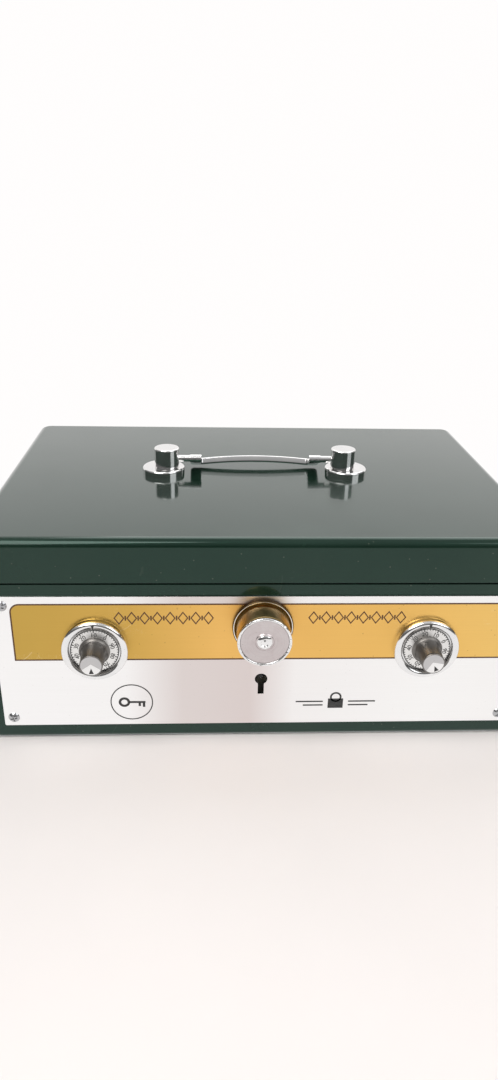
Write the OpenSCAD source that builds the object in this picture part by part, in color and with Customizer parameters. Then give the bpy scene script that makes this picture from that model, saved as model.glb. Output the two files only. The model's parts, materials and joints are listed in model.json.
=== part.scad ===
// Portable steel cash box with two number dials, a turn knob and a key lock.
// It stands on z = 0, centred on x = 0 and y = 0, with its front towards -y.
// The model is drawn closed and unlocked, with its handle folded to the back.

/* [Box] */
// Width of the box, left to right
box_w = 300; // [250:5:360]
// Depth of the box, front to back
box_d = 205; // [170:5:246]
// Height of the closed box, to the top of the lid
box_h = 120; // [100:2:144]
// Thickness of the sheet steel
sheet = 1; // [0.8:0.1:1.2]
// Radius of the four upright corners
corner_r = 8; // [7:1:12]
// Radius of the body's lower edge
base_edge_r = 3; // [2:0.5:5]

/* [Lid] */
// Height of the lid's sides
lid_h = 24; // [23:0.5:28]
// Radius of the lid's upper edge
lid_edge_r = 5; // [3:0.5:6]
// Height of the open line between lid and body
seam_gap = 0.8; // [0.5:0.1:1.2]

/* [Rim frame] */
// How far the rim frame stands up inside the lid
rim_rise = 7; // [5:0.5:8]
// Depth of the folded hem along the body's upper edge
hem_h = 12.2; // [10:0.2:14]
// Width of the ledge at the front
front_ledge = 15; // [14:0.5:18]
// Width of the ledge at the sides and the back
side_ledge = 7; // [6:0.5:9]

/* [Faceplate] */
// Width of the faceplate
plate_w = 278.4; // [240:0.2:290]
// Thickness of the faceplate
plate_t = 1; // [0.8:0.1:1.5]
// From the seam down to the faceplate's upper edge
plate_drop = 7.1; // [3:0.1:9]
// From the table up to the faceplate's lower edge
plate_rise = 9.4; // [5:0.1:14]
// From the faceplate's edges in to its screws
plate_screw_in = 5.2; // [4.5:0.1:8]
// Diameter of a screw head on the faceplate
screw_head_d = 6.2; // [5:0.1:7]
// Diameter of the screws' shanks
screw_d = 3; // [2.5:0.1:3.5]

/* [Dials] */
// From the middle of the box to each dial's axis
dial_x = 87.7; // [80:0.1:96]
// From the seam down to the dials' axis
dial_drop = 37.6; // [34:0.1:42]
// Outer diameter of a dial's bezel
bezel_d = 35; // [30:0.5:42]
// How far a bezel stands out of the faceplate
bezel_h = 4.5; // [4:0.1:6]
// Width of a bezel's rounded rim
bezel_rim = 4.2; // [3:0.1:5]
// Diameter of a dial knob at its foot
dial_knob_d = 14.4; // [12:0.1:16]
// Diameter of a dial knob at its tip
dial_tip_d = 10.6; // [8:0.1:12]
// How far a dial knob stands out of the faceplate
dial_reach = 17; // [14:0.5:20]
// Diameter of a dial's spindle
dial_spindle_d = 5; // [4:0.5:6]
// Diameter of a combination wheel
wheel_d = 24; // [20:0.5:28]

/* [Turn knob] */
// From the seam down to the turn knob's axis
knob_drop = 24.5; // [24:0.1:26]
// Diameter of the turn knob
knob_d = 28; // [24:0.5:30]
// How far the turn knob stands out of the faceplate
knob_reach = 17; // [14:0.5:20]
// Diameter of the plate behind the turn knob
escutcheon_d = 32; // [30:0.5:36]
// Thickness of the plate behind the turn knob
escutcheon_h = 2.5; // [2:0.1:3]
// Diameter of the boss in the middle of the turn knob
boss_d = 8; // [6:0.5:10]
// Diameter of the turn knob's spindle
knob_spindle_d = 8; // [6:0.5:8]

/* [Keyhole] */
// From the seam down to the round part of the keyhole
key_drop = 57.6; // [56:0.1:59]
// Diameter of the keyhole's round part
key_d = 6.8; // [6:0.1:8]
// Width of the keyhole's slot
key_slot_w = 3.3; // [2.5:0.1:4]
// From the keyhole's middle down to the foot of its slot
key_slot_h = 9.6; // [8:0.1:11]

/* [Latch] */
// Sideways travel of the latch slide
latch_travel = 8; // [8:0.5:9]
// Thickness of the latch slide and the key bolt
latch_t = 1.5; // [1.2:0.1:2]
// From the middle of the box to each striker
striker_x = 28; // [27:1:32]
// Width of a striker
striker_w = 14; // [14:0.5:15]
// Thickness of a striker
striker_t = 2; // [1.5:0.1:2.2]
// Radius from the turn knob's axis to the crank pin
crank_r = 8; // [8:0.1:8.5]
// Diameter of the crank pin
crank_pin_d = 4; // [3:0.1:4.2]

/* [Hinges] */
// From the middle of the box to the middle of each hinge
hinge_x = 85; // [70:1:100]
// Length of a hinge
hinge_len = 46; // [40:1:56]
// Thickness of a hinge leaf
leaf_t = 1.2; // [1:0.1:1.4]
// Diameter of a hinge pin
pin_d = 3; // [2.5:0.1:3.2]
// Wall of a hinge knuckle
knuckle_wall = 1.5; // [1.2:0.1:1.6]

/* [Handle] */
// From the middle of the box to each handle post
post_x = 54; // [50:1:62]
// From the middle of the box back to the handle posts
handle_y = 0; // [-4:0.5:6]
// Diameter of a handle post
post_d = 15; // [13:0.5:17]
// Height of a handle post above its disc
post_h = 11.8; // [11:0.1:15]
// Diameter of the disc under a post
disc_d = 25.5; // [22:0.5:27]
// Thickness of the disc under a post
disc_h = 3.8; // [3:0.1:4.5]
// Height of the handle's pivot above its discs
pivot_rise = 4.9; // [4.5:0.1:5.5]
// From the handle's pivot to the middle of its grip
handle_reach = 12; // [11:0.5:12]
// Clear width inside the handle
grip_clear = 66; // [60:1:68]
// Width of the handle's legs
leg_w = 7; // [6:0.5:8]
// Thickness of the handle's grip
strip_t = 3.5; // [3:0.1:3.6]
// Height of the handle's grip
grip_h = 4; // [3:0.1:4.2]
// Diameter of the handle's pivot rods
pivot_d = 4; // [3:0.1:4.5]
// Angle at which the folded handle lies below level
fold_angle = 27; // [22:0.5:28]

/* [Tray] */
// Depth of the tray
tray_h = 24; // [20:1:28]
// Width of the tray's rim beyond its walls
tray_rim = 3.8; // [3:0.1:4]
// Diameter of a bill clamp's pin
clamp_pin_d = 3; // [2.5:0.1:3.2]
// From the middle of the box to each bill clamp
clamp_x = 68; // [60:1:74]
// Width of a bill clamp
clamp_w = 13; // [11:0.5:16]
// Length of a bill clamp, from its pin to its tip
clamp_len = 138; // [100:1:140]

/* [Pocket] */
// Width of the document pocket
pocket_w = 238; // [200:1:240]
// Depth of the document pocket, front to back
pocket_d = 78; // [60:1:80]
// Clear height inside the document pocket
pocket_gap = 5.7; // [5:0.1:6]

/* [Fits] */
// Radial clearance of pieces fixed to each other
fixed_fit = 0.02; // [0.01:0.01:0.03]
// Radial clearance of pieces that turn or slide
running_fit = 0.05; // [0.03:0.01:0.1]
// Side clearance between sheet parts that pass each other
sheet_gap = 0.8; // [0.5:0.1:1]

/* [Hidden] */
$fn = 64;

// main levels and faces
front = -box_d / 2;
back = box_d / 2;
inside = front + sheet;
plate_front = front - plate_t;
wall = plate_t + sheet;
seam_z = box_h - lid_h;
body_top = seam_z - seam_gap;
hem_low = body_top - hem_h;
lid_under = box_h - sheet;
rim_top = seam_z + rim_rise;
ledge_under = rim_top - sheet;
plate_top = seam_z - plate_drop;
plate_h = plate_top - plate_rise;
dial_z = seam_z - dial_drop;
knob_z = seam_z - knob_drop;
key_z = seam_z - key_drop;

// the lock's planes, measured in from the front wall's inner face
nut_t = 3;
sleeve_end = 3.5;
wheel_at = 3.8;
wheel_t = 2;
wheel_nut_t = 1.5;
crank_at = 5.6;
crank_t = 1.8;
crank_play = 0.15;
lever_at = 6;
lever_t = 1.4;
latch_at = 7.8;
side_play = 0.2;
head_t = 1.2;
case_depth = 13;
case_head_r = 3;
case_head_t = 1.8;
key_post_r = 1.25;
wheel_nut_r = 4.2;

// dial pieces
dial_sleeve_r = 4;
dial_nut_r = 7;
disc_at = 1.3;
disc_t = 1.7;
disc_play = 0.6;
knob_sleeve_r = 6;
knob_nut_r = 8.66;
gate_w = 3.2;
gate_d = 3;

// latch slide and strikers
bar_h = 11;
bar_low = knob_z - 2;
bar_top = bar_low + bar_h;
fence_gap = 0.5;
fence_w = 3;
bar_left = -dial_x + wheel_d / 2 + fence_gap;
bar_right = dial_x + wheel_d / 2 + fence_gap + fence_w;
hook_low = bar_top + 2;
hook_t = 4;
notch_h = 5;
nose_t = 3.4;
notch_d = 9.5;
striker_play = 0.6;
striker_at = latch_at + latch_t / 2 - striker_t / 2;
striker_foot = 12.5;
foot_t = 1.5;
slot_play = 2;
nose_len = latch_travel + 7.4;
riser_w = 5;
guide_r = 2.5;
guide_z = bar_low + bar_h / 2;
guide_xs = [-55, 60];
slot_end = 0.3;
hump_left = -12;
hump_w = 18;
hump_h = 5;
crank_turn = 30;
crank_hub_r = 6;

// lock case
case_half = bar_right + latch_travel + 6;
case_low = key_z - 14;
case_flange = 10;

// key bolt and lever
bolt_low = key_z + 1.9;
bolt_top = bar_low - 6;
bolt_w = 18;
bolt_throw = 5;
tongue_w = 5;
tongue_gap = 0.6;
tongue_play = 0.3;
tongue_slot_h = 5;
talon_w = 6;
talon_h = 3;
bolt_stud_r = 2;
bolt_stud_zs = [bolt_low + 12, bolt_low + 18];
lever_x = -22;
lever_z = key_z + 11.4;
lever_r = 4;
lever_neck_r = 3;
lever_pivot_r = 2;
lever_head_r = 3.2;
belly_z = key_z + 3.9;
belly_left = -10;
belly_right = 8;
belly_h = 4;

// hinges
hinge_y = back + leaf_t + pin_d / 2 + knuckle_wall - 0.2;
knuckle_r = pin_d / 2 + knuckle_wall;
knuckle_gap = 0.3;
leaf_h = 26;
lid_leaf_h = 15.8;
rivet_r = 1.5;
rivet_head_r = 3.2;
rivet_head_t = 1.4;
body_rivet_z = seam_z - 19;
lid_rivet_z = seam_z + 12;
rivet_dx = 14;

// handle
pivot_z = box_h + disc_h + pivot_rise;
disc_shift = 2;
post_rivet_r = 3;
post_rivet_in = 2.5;
bow = 1.8;
barrel_r = grip_h / 2 + 0.3;
bow_r = (pow(grip_clear / 2, 2) + bow * bow) / (2 * bow);

// tray
opening_w = box_w - 4 * sheet - 2 * side_ledge;
opening_front = front + 2 * sheet + front_ledge;
opening_back = back - 2 * sheet - side_ledge;
seat_gap = 0.05;
tray_top = rim_top + sheet + seat_gap;
tray_w = opening_w - 2 * sheet_gap;
tray_front = opening_front + sheet_gap;
tray_back = opening_back - sheet_gap;
tray_d = tray_back - tray_front;
tray_y = (tray_front + tray_back) / 2;
tray_low = tray_top - tray_h;
tray_r = 4;
clamp_y = tray_back - 11;
clamp_z = tray_low + sheet + 6;
clamp_t = 1.2;
clamp_knuckle_r = 3;
ear_t = 1.5;
ear_gap = 0.4;

// pocket
pocket_front = back - sheet - 10 - pocket_d;
pocket_low = lid_under - pocket_gap - sheet;
pocket_flange = 10;
pocket_peak = 4;

enamel = [0.15, 0.22, 0.19];
steel = [0.80, 0.80, 0.78];
chrome = [0.88, 0.88, 0.88];
zinc = [0.66, 0.65, 0.60];
beige = [0.80, 0.70, 0.60];
strap = [0.16, 0.13, 0.12];

// ---- shapes used by several pieces ----

// rectangle with round corners
module rounded(w, d, r) {
    square([w - 2 * r, d], center = true);
    square([w, d - 2 * r], center = true);
    for (sx = [-1, 1], sy = [-1, 1])
        translate([sx * (w / 2 - r), sy * (d / 2 - r)]) circle(r = r);
}

// half section of a shape whose upper edge is rounded
module edge_section(half, edge, h) {
    square([half, h - edge]);
    square([half - edge, h]);
    intersection() {
        translate([half - edge, h - edge]) circle(r = edge);
        translate([half - edge, h - edge]) square(edge);
    }
}

// the same section on both sides of its middle
module full_section(half, edge, h) {
    edge_section(half, edge, h);
    mirror([1, 0]) edge_section(half, edge, h);
}

// block with round upright corners and a round upper edge
module soft_block(w, d, h, r, edge) {
    translate([0, d / 2 - r, 0]) rotate([90, 0, 0])
        linear_extrude(d - 2 * r) full_section(w / 2, edge, h);
    translate([-w / 2 + r, 0, 0]) rotate([90, 0, 90])
        linear_extrude(w - 2 * r) full_section(d / 2, edge, h);
    for (sx = [-1, 1], sy = [-1, 1])
        translate([sx * (w / 2 - r), sy * (d / 2 - r), 0])
            rotate_extrude() edge_section(r, edge, h);
}

// upright prism of the box's outline, set in by a distance
module inset_prism(inset, low, high) {
    translate([0, 0, low])
        linear_extrude(high - low)
            rounded(box_w - 2 * inset, box_d - 2 * inset, corner_r - inset);
}

// cylinder along y, from one depth to another
module along_y(x, z, r, y1, y2) {
    translate([x, y1, z]) rotate([-90, 0, 0]) cylinder(r = r, h = y2 - y1);
}

// cylinder along x
module along_x(y, z, r, x1, x2) {
    translate([x1, y, z]) rotate([0, 90, 0]) cylinder(r = r, h = x2 - x1);
}

// flat outline in x and z, made into a plate from depth y1 back
module upright_plate(y1, t) {
    translate([0, y1 + t, 0]) rotate([90, 0, 0]) linear_extrude(t) children();
}

// places a piece that faces outwards on the faceplate
module on_front(x, z) {
    translate([x, plate_front, z]) rotate([90, 0, 0]) children();
}

// headed stud on the front wall: a spacer, a bearing length and a head
module stud(x, z, r, spacer_r, head_r, plate_at, plate_thick) {
    along_y(x, z, spacer_r, inside, inside + plate_at - side_play);
    along_y(x, z, r, inside, inside + plate_at + plate_thick + side_play + head_t);
    along_y(x, z, head_r, inside + plate_at + plate_thick + side_play,
        inside + plate_at + plate_thick + side_play + head_t);
}

// straight slot between two centres
module slot_outline(from, to, r) {
    translate([min(from[0], to[0]) - (from[1] == to[1] ? 0 : r),
               min(from[1], to[1]) - (from[0] == to[0] ? 0 : r)])
        square([abs(to[0] - from[0]) + (from[1] == to[1] ? 0 : 2 * r),
                abs(to[1] - from[1]) + (from[0] == to[0] ? 0 : 2 * r)]);
    translate(from) circle(r = r);
    translate(to) circle(r = r);
}

module keyhole_outline(grow) {
    circle(r = key_d / 2 + grow);
    translate([-key_slot_w / 2 - grow, -key_slot_h - grow])
        square([key_slot_w + 2 * grow, key_slot_h + grow]);
}

// ---- case ----

module body_shell() {
    color(enamel)
        difference() {
            translate([0, 0, body_top]) mirror([0, 0, 1])
                soft_block(box_w, box_d, body_top, corner_r, base_edge_r);
            translate([0, 0, hem_low]) mirror([0, 0, 1])
                soft_block(box_w - 2 * sheet, box_d - 2 * sheet, hem_low - sheet,
                    corner_r - sheet, base_edge_r - sheet);
            inset_prism(2 * sheet, hem_low - sheet, body_top + sheet);
            for (side = [-1, 1])
                along_y(side * dial_x, dial_z, dial_sleeve_r + fixed_fit, front - 1, inside + 1);
            along_y(0, knob_z, knob_sleeve_r + fixed_fit, front - 1, inside + 1);
            upright_plate(front - 1, sheet + 2) translate([0, key_z]) keyhole_outline(0.3);
            plate_screw_places() along_y(0, 0, screw_d / 2 + fixed_fit, front - 1, inside + 1);
            case_screw_places() along_y(0, 0, screw_d / 2 + fixed_fit, front - 1, inside + 1);
            hinge_rivet_places(body_rivet_z)
                along_y(0, 0, rivet_r + fixed_fit, back - sheet - 1, back + 1);
        }
}

module rim_frame() {
    color(enamel)
        difference() {
            inset_prism(2 * sheet, hem_low, rim_top);
            inset_prism(3 * sheet, hem_low - 1, ledge_under);
            translate([0, (opening_front + opening_back) / 2, ledge_under - 1])
                linear_extrude(sheet + 2)
                    rounded(opening_w, opening_back - opening_front, tray_r + sheet_gap);
            for (side = [-1, 1])
                translate([side * striker_x - striker_w / 2 - 1,
                           inside + striker_at - slot_play, ledge_under - 1])
                    cube([striker_w + 2, striker_t + 2 * slot_play, sheet + 2]);
        }
}

module plate_screw_places() {
    for (side = [-1, 1], z = [plate_rise + plate_screw_in, plate_top - plate_screw_in])
        translate([side * (plate_w / 2 - plate_screw_in), 0, z]) children();
}

module faceplate() {
    color(steel)
        difference() {
            translate([0, 0, plate_rise + plate_h / 2])
                upright_plate(plate_front, plate_t) rounded(plate_w, plate_h, 1);
            plate_screw_places()
                along_y(0, 0, screw_d / 2 + fixed_fit, plate_front - 1, front + 1);
            for (side = [-1, 1])
                along_y(side * dial_x, dial_z, dial_sleeve_r + fixed_fit, plate_front - 1, front + 1);
            along_y(0, knob_z, knob_sleeve_r + fixed_fit, plate_front - 1, front + 1);
            upright_plate(plate_front - 1, plate_t + 2) translate([0, key_z]) keyhole_outline(0);
        }
}

// round-headed screws with a cross slot
module faceplate_screws() {
    color(chrome)
        plate_screw_places()
            difference() {
                union() {
                    along_y(0, 0, screw_d / 2, plate_front - 0.8, inside);
                    along_y(0, 0, screw_head_d / 2, plate_front - 1, plate_front);
                    along_y(0, 0, screw_head_d / 2 - 0.6, plate_front - 1.6, plate_front - 0.9);
                }
                for (turn = [0, 90])
                    translate([0, plate_front - 1.6, 0]) rotate([0, turn, 0])
                        cube([screw_head_d * 0.6, 1.6, 0.7], center = true);
            }
}

// cup with a rounded rim, and a sleeve that passes through plate and wall
module dial_bezel(side) {
    rim_r = bezel_rim / 2;
    color(chrome)
        on_front(side * dial_x, dial_z)
            difference() {
                union() {
                    rotate_extrude()
                        union() {
                            square([bezel_d / 2, 1]);
                            translate([bezel_d / 2 - bezel_rim, 0])
                                square([bezel_rim, bezel_h - rim_r]);
                            translate([bezel_d / 2 - rim_r, bezel_h - rim_r]) circle(r = rim_r);
                        }
                    translate([0, 0, -wall - sleeve_end])
                        cylinder(r = dial_sleeve_r, h = wall + sleeve_end + 0.5);
                }
                translate([0, 0, -wall - sleeve_end - 1])
                    cylinder(r = dial_spindle_d / 2 + running_fit, h = wall + sleeve_end + 3);
            }
}

module dial_nuts() {
    color(zinc)
        for (side = [-1, 1])
            difference() {
                translate([side * dial_x, inside, dial_z]) rotate([-90, 0, 0])
                    cylinder(r = dial_nut_r, h = nut_t, $fn = 6);
                along_y(side * dial_x, dial_z, dial_sleeve_r + fixed_fit, inside - 1, inside + nut_t + 1);
            }
}

module knob_escutcheon() {
    color(chrome)
        on_front(0, knob_z)
            difference() {
                union() {
                    cylinder(r = escutcheon_d / 2, h = escutcheon_h);
                    translate([0, 0, -wall - sleeve_end])
                        cylinder(r = knob_sleeve_r, h = wall + sleeve_end + 0.5);
                }
                translate([0, 0, 1]) cylinder(r = escutcheon_d / 2 - 1.4, h = escutcheon_h);
                translate([0, 0, -wall - sleeve_end - 1])
                    cylinder(r = knob_spindle_d / 2 + running_fit, h = wall + sleeve_end + 3);
            }
}

module knob_nut() {
    color(zinc)
        difference() {
            translate([0, inside, knob_z]) rotate([-90, 0, 0])
                cylinder(r = knob_nut_r, h = nut_t, $fn = 6);
            along_y(0, knob_z, knob_sleeve_r + fixed_fit, inside - 1, inside + nut_t + 1);
        }
}

// ---- lock ----

module case_screw_places() {
    for (side = [-1, 1], z = [case_low + 10, dial_z + 17])
        translate([side * (case_half + sheet + case_flange / 2), 0, z]) children();
}

// sheet cover over the lock, open upwards to the rim frame's ledge
module lock_case() {
    color(zinc)
        difference() {
            union() {
                translate([-case_half - sheet, inside, case_low])
                    cube([2 * (case_half + sheet), case_depth + sheet, ledge_under - case_low]);
                translate([-case_half - sheet - case_flange, inside, case_low + 4])
                    cube([2 * (case_half + sheet + case_flange), sheet,
                          hem_low - case_low - 5]);
            }
            translate([-case_half, inside - 1, case_low + sheet])
                cube([2 * case_half, case_depth + 1, ledge_under - case_low]);
            translate([-box_w / 2, inside - 1, hem_low - seat_gap])
                cube([box_w, 1 + 2 * sheet + seat_gap, box_h]);
            along_y(0, key_z, key_post_r + fixed_fit, inside + case_depth - 1,
                inside + case_depth + sheet + 1);
            case_screw_places() along_y(0, 0, screw_d / 2 + fixed_fit, inside - 1, inside + sheet + 1);
        }
}

module lock_case_screws() {
    color(zinc)
        case_screw_places() {
            along_y(0, 0, screw_d / 2, front, inside + sheet + 0.5);
            along_y(0, 0, case_head_r, inside + sheet, inside + sheet + case_head_t);
        }
}

module slide_guides() {
    color(zinc)
        for (x = guide_xs)
            stud(x, guide_z, guide_r, guide_r + 1.5, guide_r + 2, latch_at, latch_t);
}

module bolt_guides() {
    color(zinc)
        for (z = bolt_stud_zs)
            stud(0, z, bolt_stud_r, bolt_stud_r + 1, bolt_stud_r + 0.9, latch_at, latch_t);
}

module key_post() {
    color(zinc)
        along_y(0, key_z, key_post_r, inside + 1, inside + case_depth + sheet);
}

module lever_pivot() {
    color(zinc)
        stud(lever_x, lever_z, lever_pivot_r, lever_head_r, lever_head_r, lever_at, lever_t);
}

// sliding bar with two noses, a crank slot, two fences and two bolt notches
module latch_slide() {
    color(zinc) {
        upright_plate(inside + latch_at, latch_t)
            difference() {
                union() {
                    translate([bar_left, bar_low]) square([bar_right - bar_left, bar_h]);
                    translate([hump_left, bar_low]) square([hump_w, bar_h + hump_h]);
                    for (side = [-1, 1]) {
                        arm_x = side * dial_x + wheel_d / 2 + fence_gap;
                        translate([arm_x, dial_z - fence_w / 2])
                            square([fence_w, bar_low - dial_z + fence_w]);
                        nose_tip = side * striker_x - striker_w / 2 - striker_play;
                        nose_z = hook_low + hook_t + (notch_h - nose_t) / 2;
                        translate([nose_tip - nose_len, nose_z]) square([nose_len, nose_t]);
                        translate([nose_tip - nose_len, bar_top - 1])
                            square([riser_w, nose_z - bar_top + 1 + nose_t]);
                    }
                }
                pin_x = -crank_r * sin(crank_turn);
                pin_low = knob_z + crank_r * cos(crank_turn) - slot_end;
                slot_outline([pin_x, pin_low], [pin_x, knob_z + crank_r + slot_end],
                    crank_pin_d / 2 + crank_play);
                for (x = guide_xs)
                    slot_outline([x - latch_travel - slot_end, guide_z], [x + slot_end, guide_z],
                        guide_r + running_fit);
                for (x = [0, -latch_travel])
                    translate([x - tongue_w / 2 - tongue_play, bar_low - 1])
                        square([tongue_w + 2 * tongue_play, tongue_slot_h + 1]);
            }
        for (side = [-1, 1])
            translate([side * dial_x + wheel_d / 2 + fence_gap, inside + wheel_at, dial_z - 1.3])
                cube([fence_w, latch_at - wheel_at + 0.1, 2.6]);
    }
}

// bolt that the key lifts into the latch slide
module lock_bolt() {
    color(zinc)
        upright_plate(inside + latch_at, latch_t)
            difference() {
                union() {
                    translate([-bolt_w / 2, bolt_low]) square([bolt_w, bolt_top - bolt_low]);
                    translate([-tongue_w / 2, bolt_top - 1])
                        square([tongue_w, bar_low - bolt_top + 1 - tongue_gap]);
                }
                slot_outline([0, bolt_stud_zs[0] - bolt_throw - slot_end],
                    [0, bolt_stud_zs[1] + slot_end], bolt_stud_r + running_fit);
                translate([-talon_w / 2, bolt_low - 1]) square([talon_w, talon_h + 1]);
            }
}

module lock_lever() {
    color(zinc)
        difference() {
            union() {
                along_y(lever_x, lever_z, lever_r, inside + lever_at, inside + lever_at + lever_t);
                upright_plate(inside + lever_at, lever_t)
                    polygon([[lever_x, lever_z + lever_neck_r], [belly_left + 2, belly_z + belly_h],
                             [belly_right, belly_z + belly_h - 0.5], [belly_right, belly_z],
                             [belly_left, belly_z], [lever_x, lever_z - lever_neck_r]]);
            }
            along_y(lever_x, lever_z, lever_pivot_r + running_fit, inside, inside + case_depth);
        }
}

// thin leaf that presses the lever down
module lever_spring() {
    color(steel)
        upright_plate(inside + lever_at + 0.2, lever_t - 0.4)
            translate([lever_x, lever_z + lever_r])
                polygon([[-0.6, 0.02], [0, 0.02], [-5.2, 12], [-5.7, 12]]);
}

// ---- dials ----

module dial_disc(side) {
    color(chrome)
        on_front(side * dial_x, dial_z)
            translate([0, 0, disc_at])
                difference() {
                    cylinder(r = bezel_d / 2 - bezel_rim - disc_play, h = disc_t);
                    translate([0, 0, -1]) cylinder(r = dial_spindle_d / 2 + fixed_fit, h = disc_t + 2);
                }
}

module dial_knob(side) {
    knob_at = disc_at + disc_t;
    color(chrome)
        on_front(side * dial_x, dial_z)
            difference() {
                translate([0, 0, knob_at])
                    cylinder(r1 = dial_knob_d / 2, r2 = dial_tip_d / 2, h = dial_reach - knob_at);
                cylinder(r = dial_spindle_d / 2 + fixed_fit, h = dial_reach - 1.5);
                translate([-0.5, 0.5, dial_reach - 0.4]) cube([1, dial_tip_d, 1]);
            }
}

module dial_spindle(side) {
    color(zinc)
        along_y(side * dial_x, dial_z, dial_spindle_d / 2, plate_front - dial_reach + 1.5,
            inside + wheel_at + wheel_t + wheel_nut_t);
}

// wheel with a gate for the latch slide's fence
module combination_wheel(side) {
    color(zinc)
        difference() {
            along_y(side * dial_x, dial_z, wheel_d / 2, inside + wheel_at, inside + wheel_at + wheel_t);
            along_y(side * dial_x, dial_z, dial_spindle_d / 2 + fixed_fit, inside, inside + case_depth);
            translate([side * dial_x + wheel_d / 2 - gate_d, inside, dial_z - gate_w / 2])
                cube([gate_d + 1, case_depth, gate_w]);
        }
}

module wheel_nut(side) {
    nut_at = inside + wheel_at + wheel_t;
    color(steel)
        difference() {
            translate([side * dial_x, nut_at, dial_z]) rotate([-90, 0, 0])
                cylinder(r = wheel_nut_r, h = wheel_nut_t, $fn = 6);
            along_y(side * dial_x, dial_z, dial_spindle_d / 2 + fixed_fit, nut_at - 1,
                nut_at + wheel_nut_t + 1);
        }
}

// ---- turn knob ----

module turn_knob() {
    knob_at = escutcheon_h + 0.5;
    color(zinc)
        on_front(0, knob_z)
            difference() {
                union() {
                    translate([0, 0, knob_at])
                        cylinder(r = knob_d / 2, h = knob_reach - knob_at);
                    translate([0, 0, 1.2]) cylinder(r = knob_d / 2 - 4, h = knob_at - 1);
                }
                translate([0, 0, knob_reach - 1]) cylinder(r = knob_d / 2 - 1.6, h = 2);
                cylinder(r = knob_spindle_d / 2 + fixed_fit, h = knob_reach - 3);
            }
}

module knob_boss() {
    color(chrome)
        on_front(0, knob_z)
            translate([0, 0, knob_reach - 1]) {
                cylinder(r = boss_d / 2, h = 0.8);
                translate([0, 0, 0.8]) cylinder(r1 = boss_d / 2, r2 = boss_d / 2 - 1.2, h = 0.8);
            }
}

module knob_spindle() {
    color(zinc)
        along_y(0, knob_z, knob_spindle_d / 2, plate_front - knob_reach + 3,
            inside + crank_at + crank_t);
}

// crank on the spindle, whose pin drives the latch slide
module knob_crank() {
    pin_r = crank_pin_d / 2;
    color(zinc)
        translate([0, 0, knob_z]) rotate([0, -crank_turn, 0]) {
            difference() {
                upright_plate(inside + crank_at, crank_t) {
                    circle(r = crank_hub_r);
                    translate([-pin_r - 1, 0]) square([2 * pin_r + 2, crank_r]);
                    translate([0, crank_r]) circle(r = pin_r + 1);
                }
                along_y(0, 0, knob_spindle_d / 2 + fixed_fit, inside, inside + case_depth);
            }
            along_y(0, crank_r, pin_r, inside + crank_at + crank_t / 2,
                inside + latch_at + latch_t + 0.6);
        }
}

// ---- hinges ----

module hinge_rivet_places(z) {
    for (side = [-1, 1], dx = [-rivet_dx, rivet_dx])
        translate([side * hinge_x + dx, 0, z]) children();
}

// knuckle with the web that joins it to its leaf
module knuckle(x, len, up, bore_r) {
    web_h = knuckle_r + (up > 0 ? 0.4 : 0);
    difference() {
        union() {
            along_x(hinge_y, seam_z, knuckle_r, x, x + len);
            translate([x, back, up > 0 ? seam_z : seam_z - web_h])
                cube([len, hinge_y - back, web_h]);
        }
        along_x(hinge_y, seam_z, bore_r, x - 1, x + len + 1);
    }
}

module hinge_body_leaves() {
    third = (hinge_len - 2 * knuckle_gap) / 3;
    color(zinc)
        for (side = [-1, 1]) {
            left = side * hinge_x - hinge_len / 2;
            for (x = [left, left + hinge_len - third])
                knuckle(x, third, -1, pin_d / 2 + fixed_fit);
            difference() {
                translate([left, back, seam_z - knuckle_r - leaf_h])
                    cube([hinge_len, leaf_t, leaf_h]);
                hinge_rivet_places(body_rivet_z)
                    along_y(0, 0, rivet_r + fixed_fit, back - 1, back + leaf_t + 1);
            }
        }
}

module hinge_lid_leaves() {
    third = (hinge_len - 2 * knuckle_gap) / 3;
    leaf_low = seam_z + 2.2;
    color(zinc)
        for (side = [-1, 1]) {
            left = side * hinge_x - hinge_len / 2;
            knuckle(left + third + knuckle_gap, third, 1, pin_d / 2 + running_fit);
            difference() {
                translate([left, back, leaf_low]) cube([hinge_len, leaf_t, lid_leaf_h]);
                hinge_rivet_places(lid_rivet_z)
                    along_y(0, 0, rivet_r + fixed_fit, back - 1, back + leaf_t + 1);
            }
        }
}

module hinge_pins() {
    color(steel)
        for (side = [-1, 1])
            along_x(hinge_y, seam_z, pin_d / 2, side * hinge_x - hinge_len / 2 - 0.5,
                side * hinge_x + hinge_len / 2 + 0.5);
}

module hinge_rivets(z) {
    color(zinc)
        hinge_rivet_places(z) {
            along_y(0, 0, rivet_r, back - sheet, back + leaf_t + 0.5);
            along_y(0, 0, rivet_head_r, back + leaf_t, back + leaf_t + rivet_head_t / 2);
            along_y(0, 0, rivet_head_r - 0.8, back + leaf_t, back + leaf_t + rivet_head_t);
        }
}

// ---- lid ----

module lid_shell() {
    color(enamel)
        difference() {
            translate([0, 0, seam_z]) soft_block(box_w, box_d, lid_h, corner_r, lid_edge_r);
            translate([0, 0, seam_z - 1])
                soft_block(box_w - 2 * sheet, box_d - 2 * sheet, lid_h - sheet + 1,
                    corner_r - sheet, lid_edge_r - sheet);
            for (side = [-1, 1])
                translate([side * post_x, handle_y, lid_under - 1])
                    cylinder(r = post_rivet_r + fixed_fit, h = sheet + 2);
            hinge_rivet_places(lid_rivet_z)
                along_y(0, 0, rivet_r + fixed_fit, back - sheet - 1, back + 1);
        }
}

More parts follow.
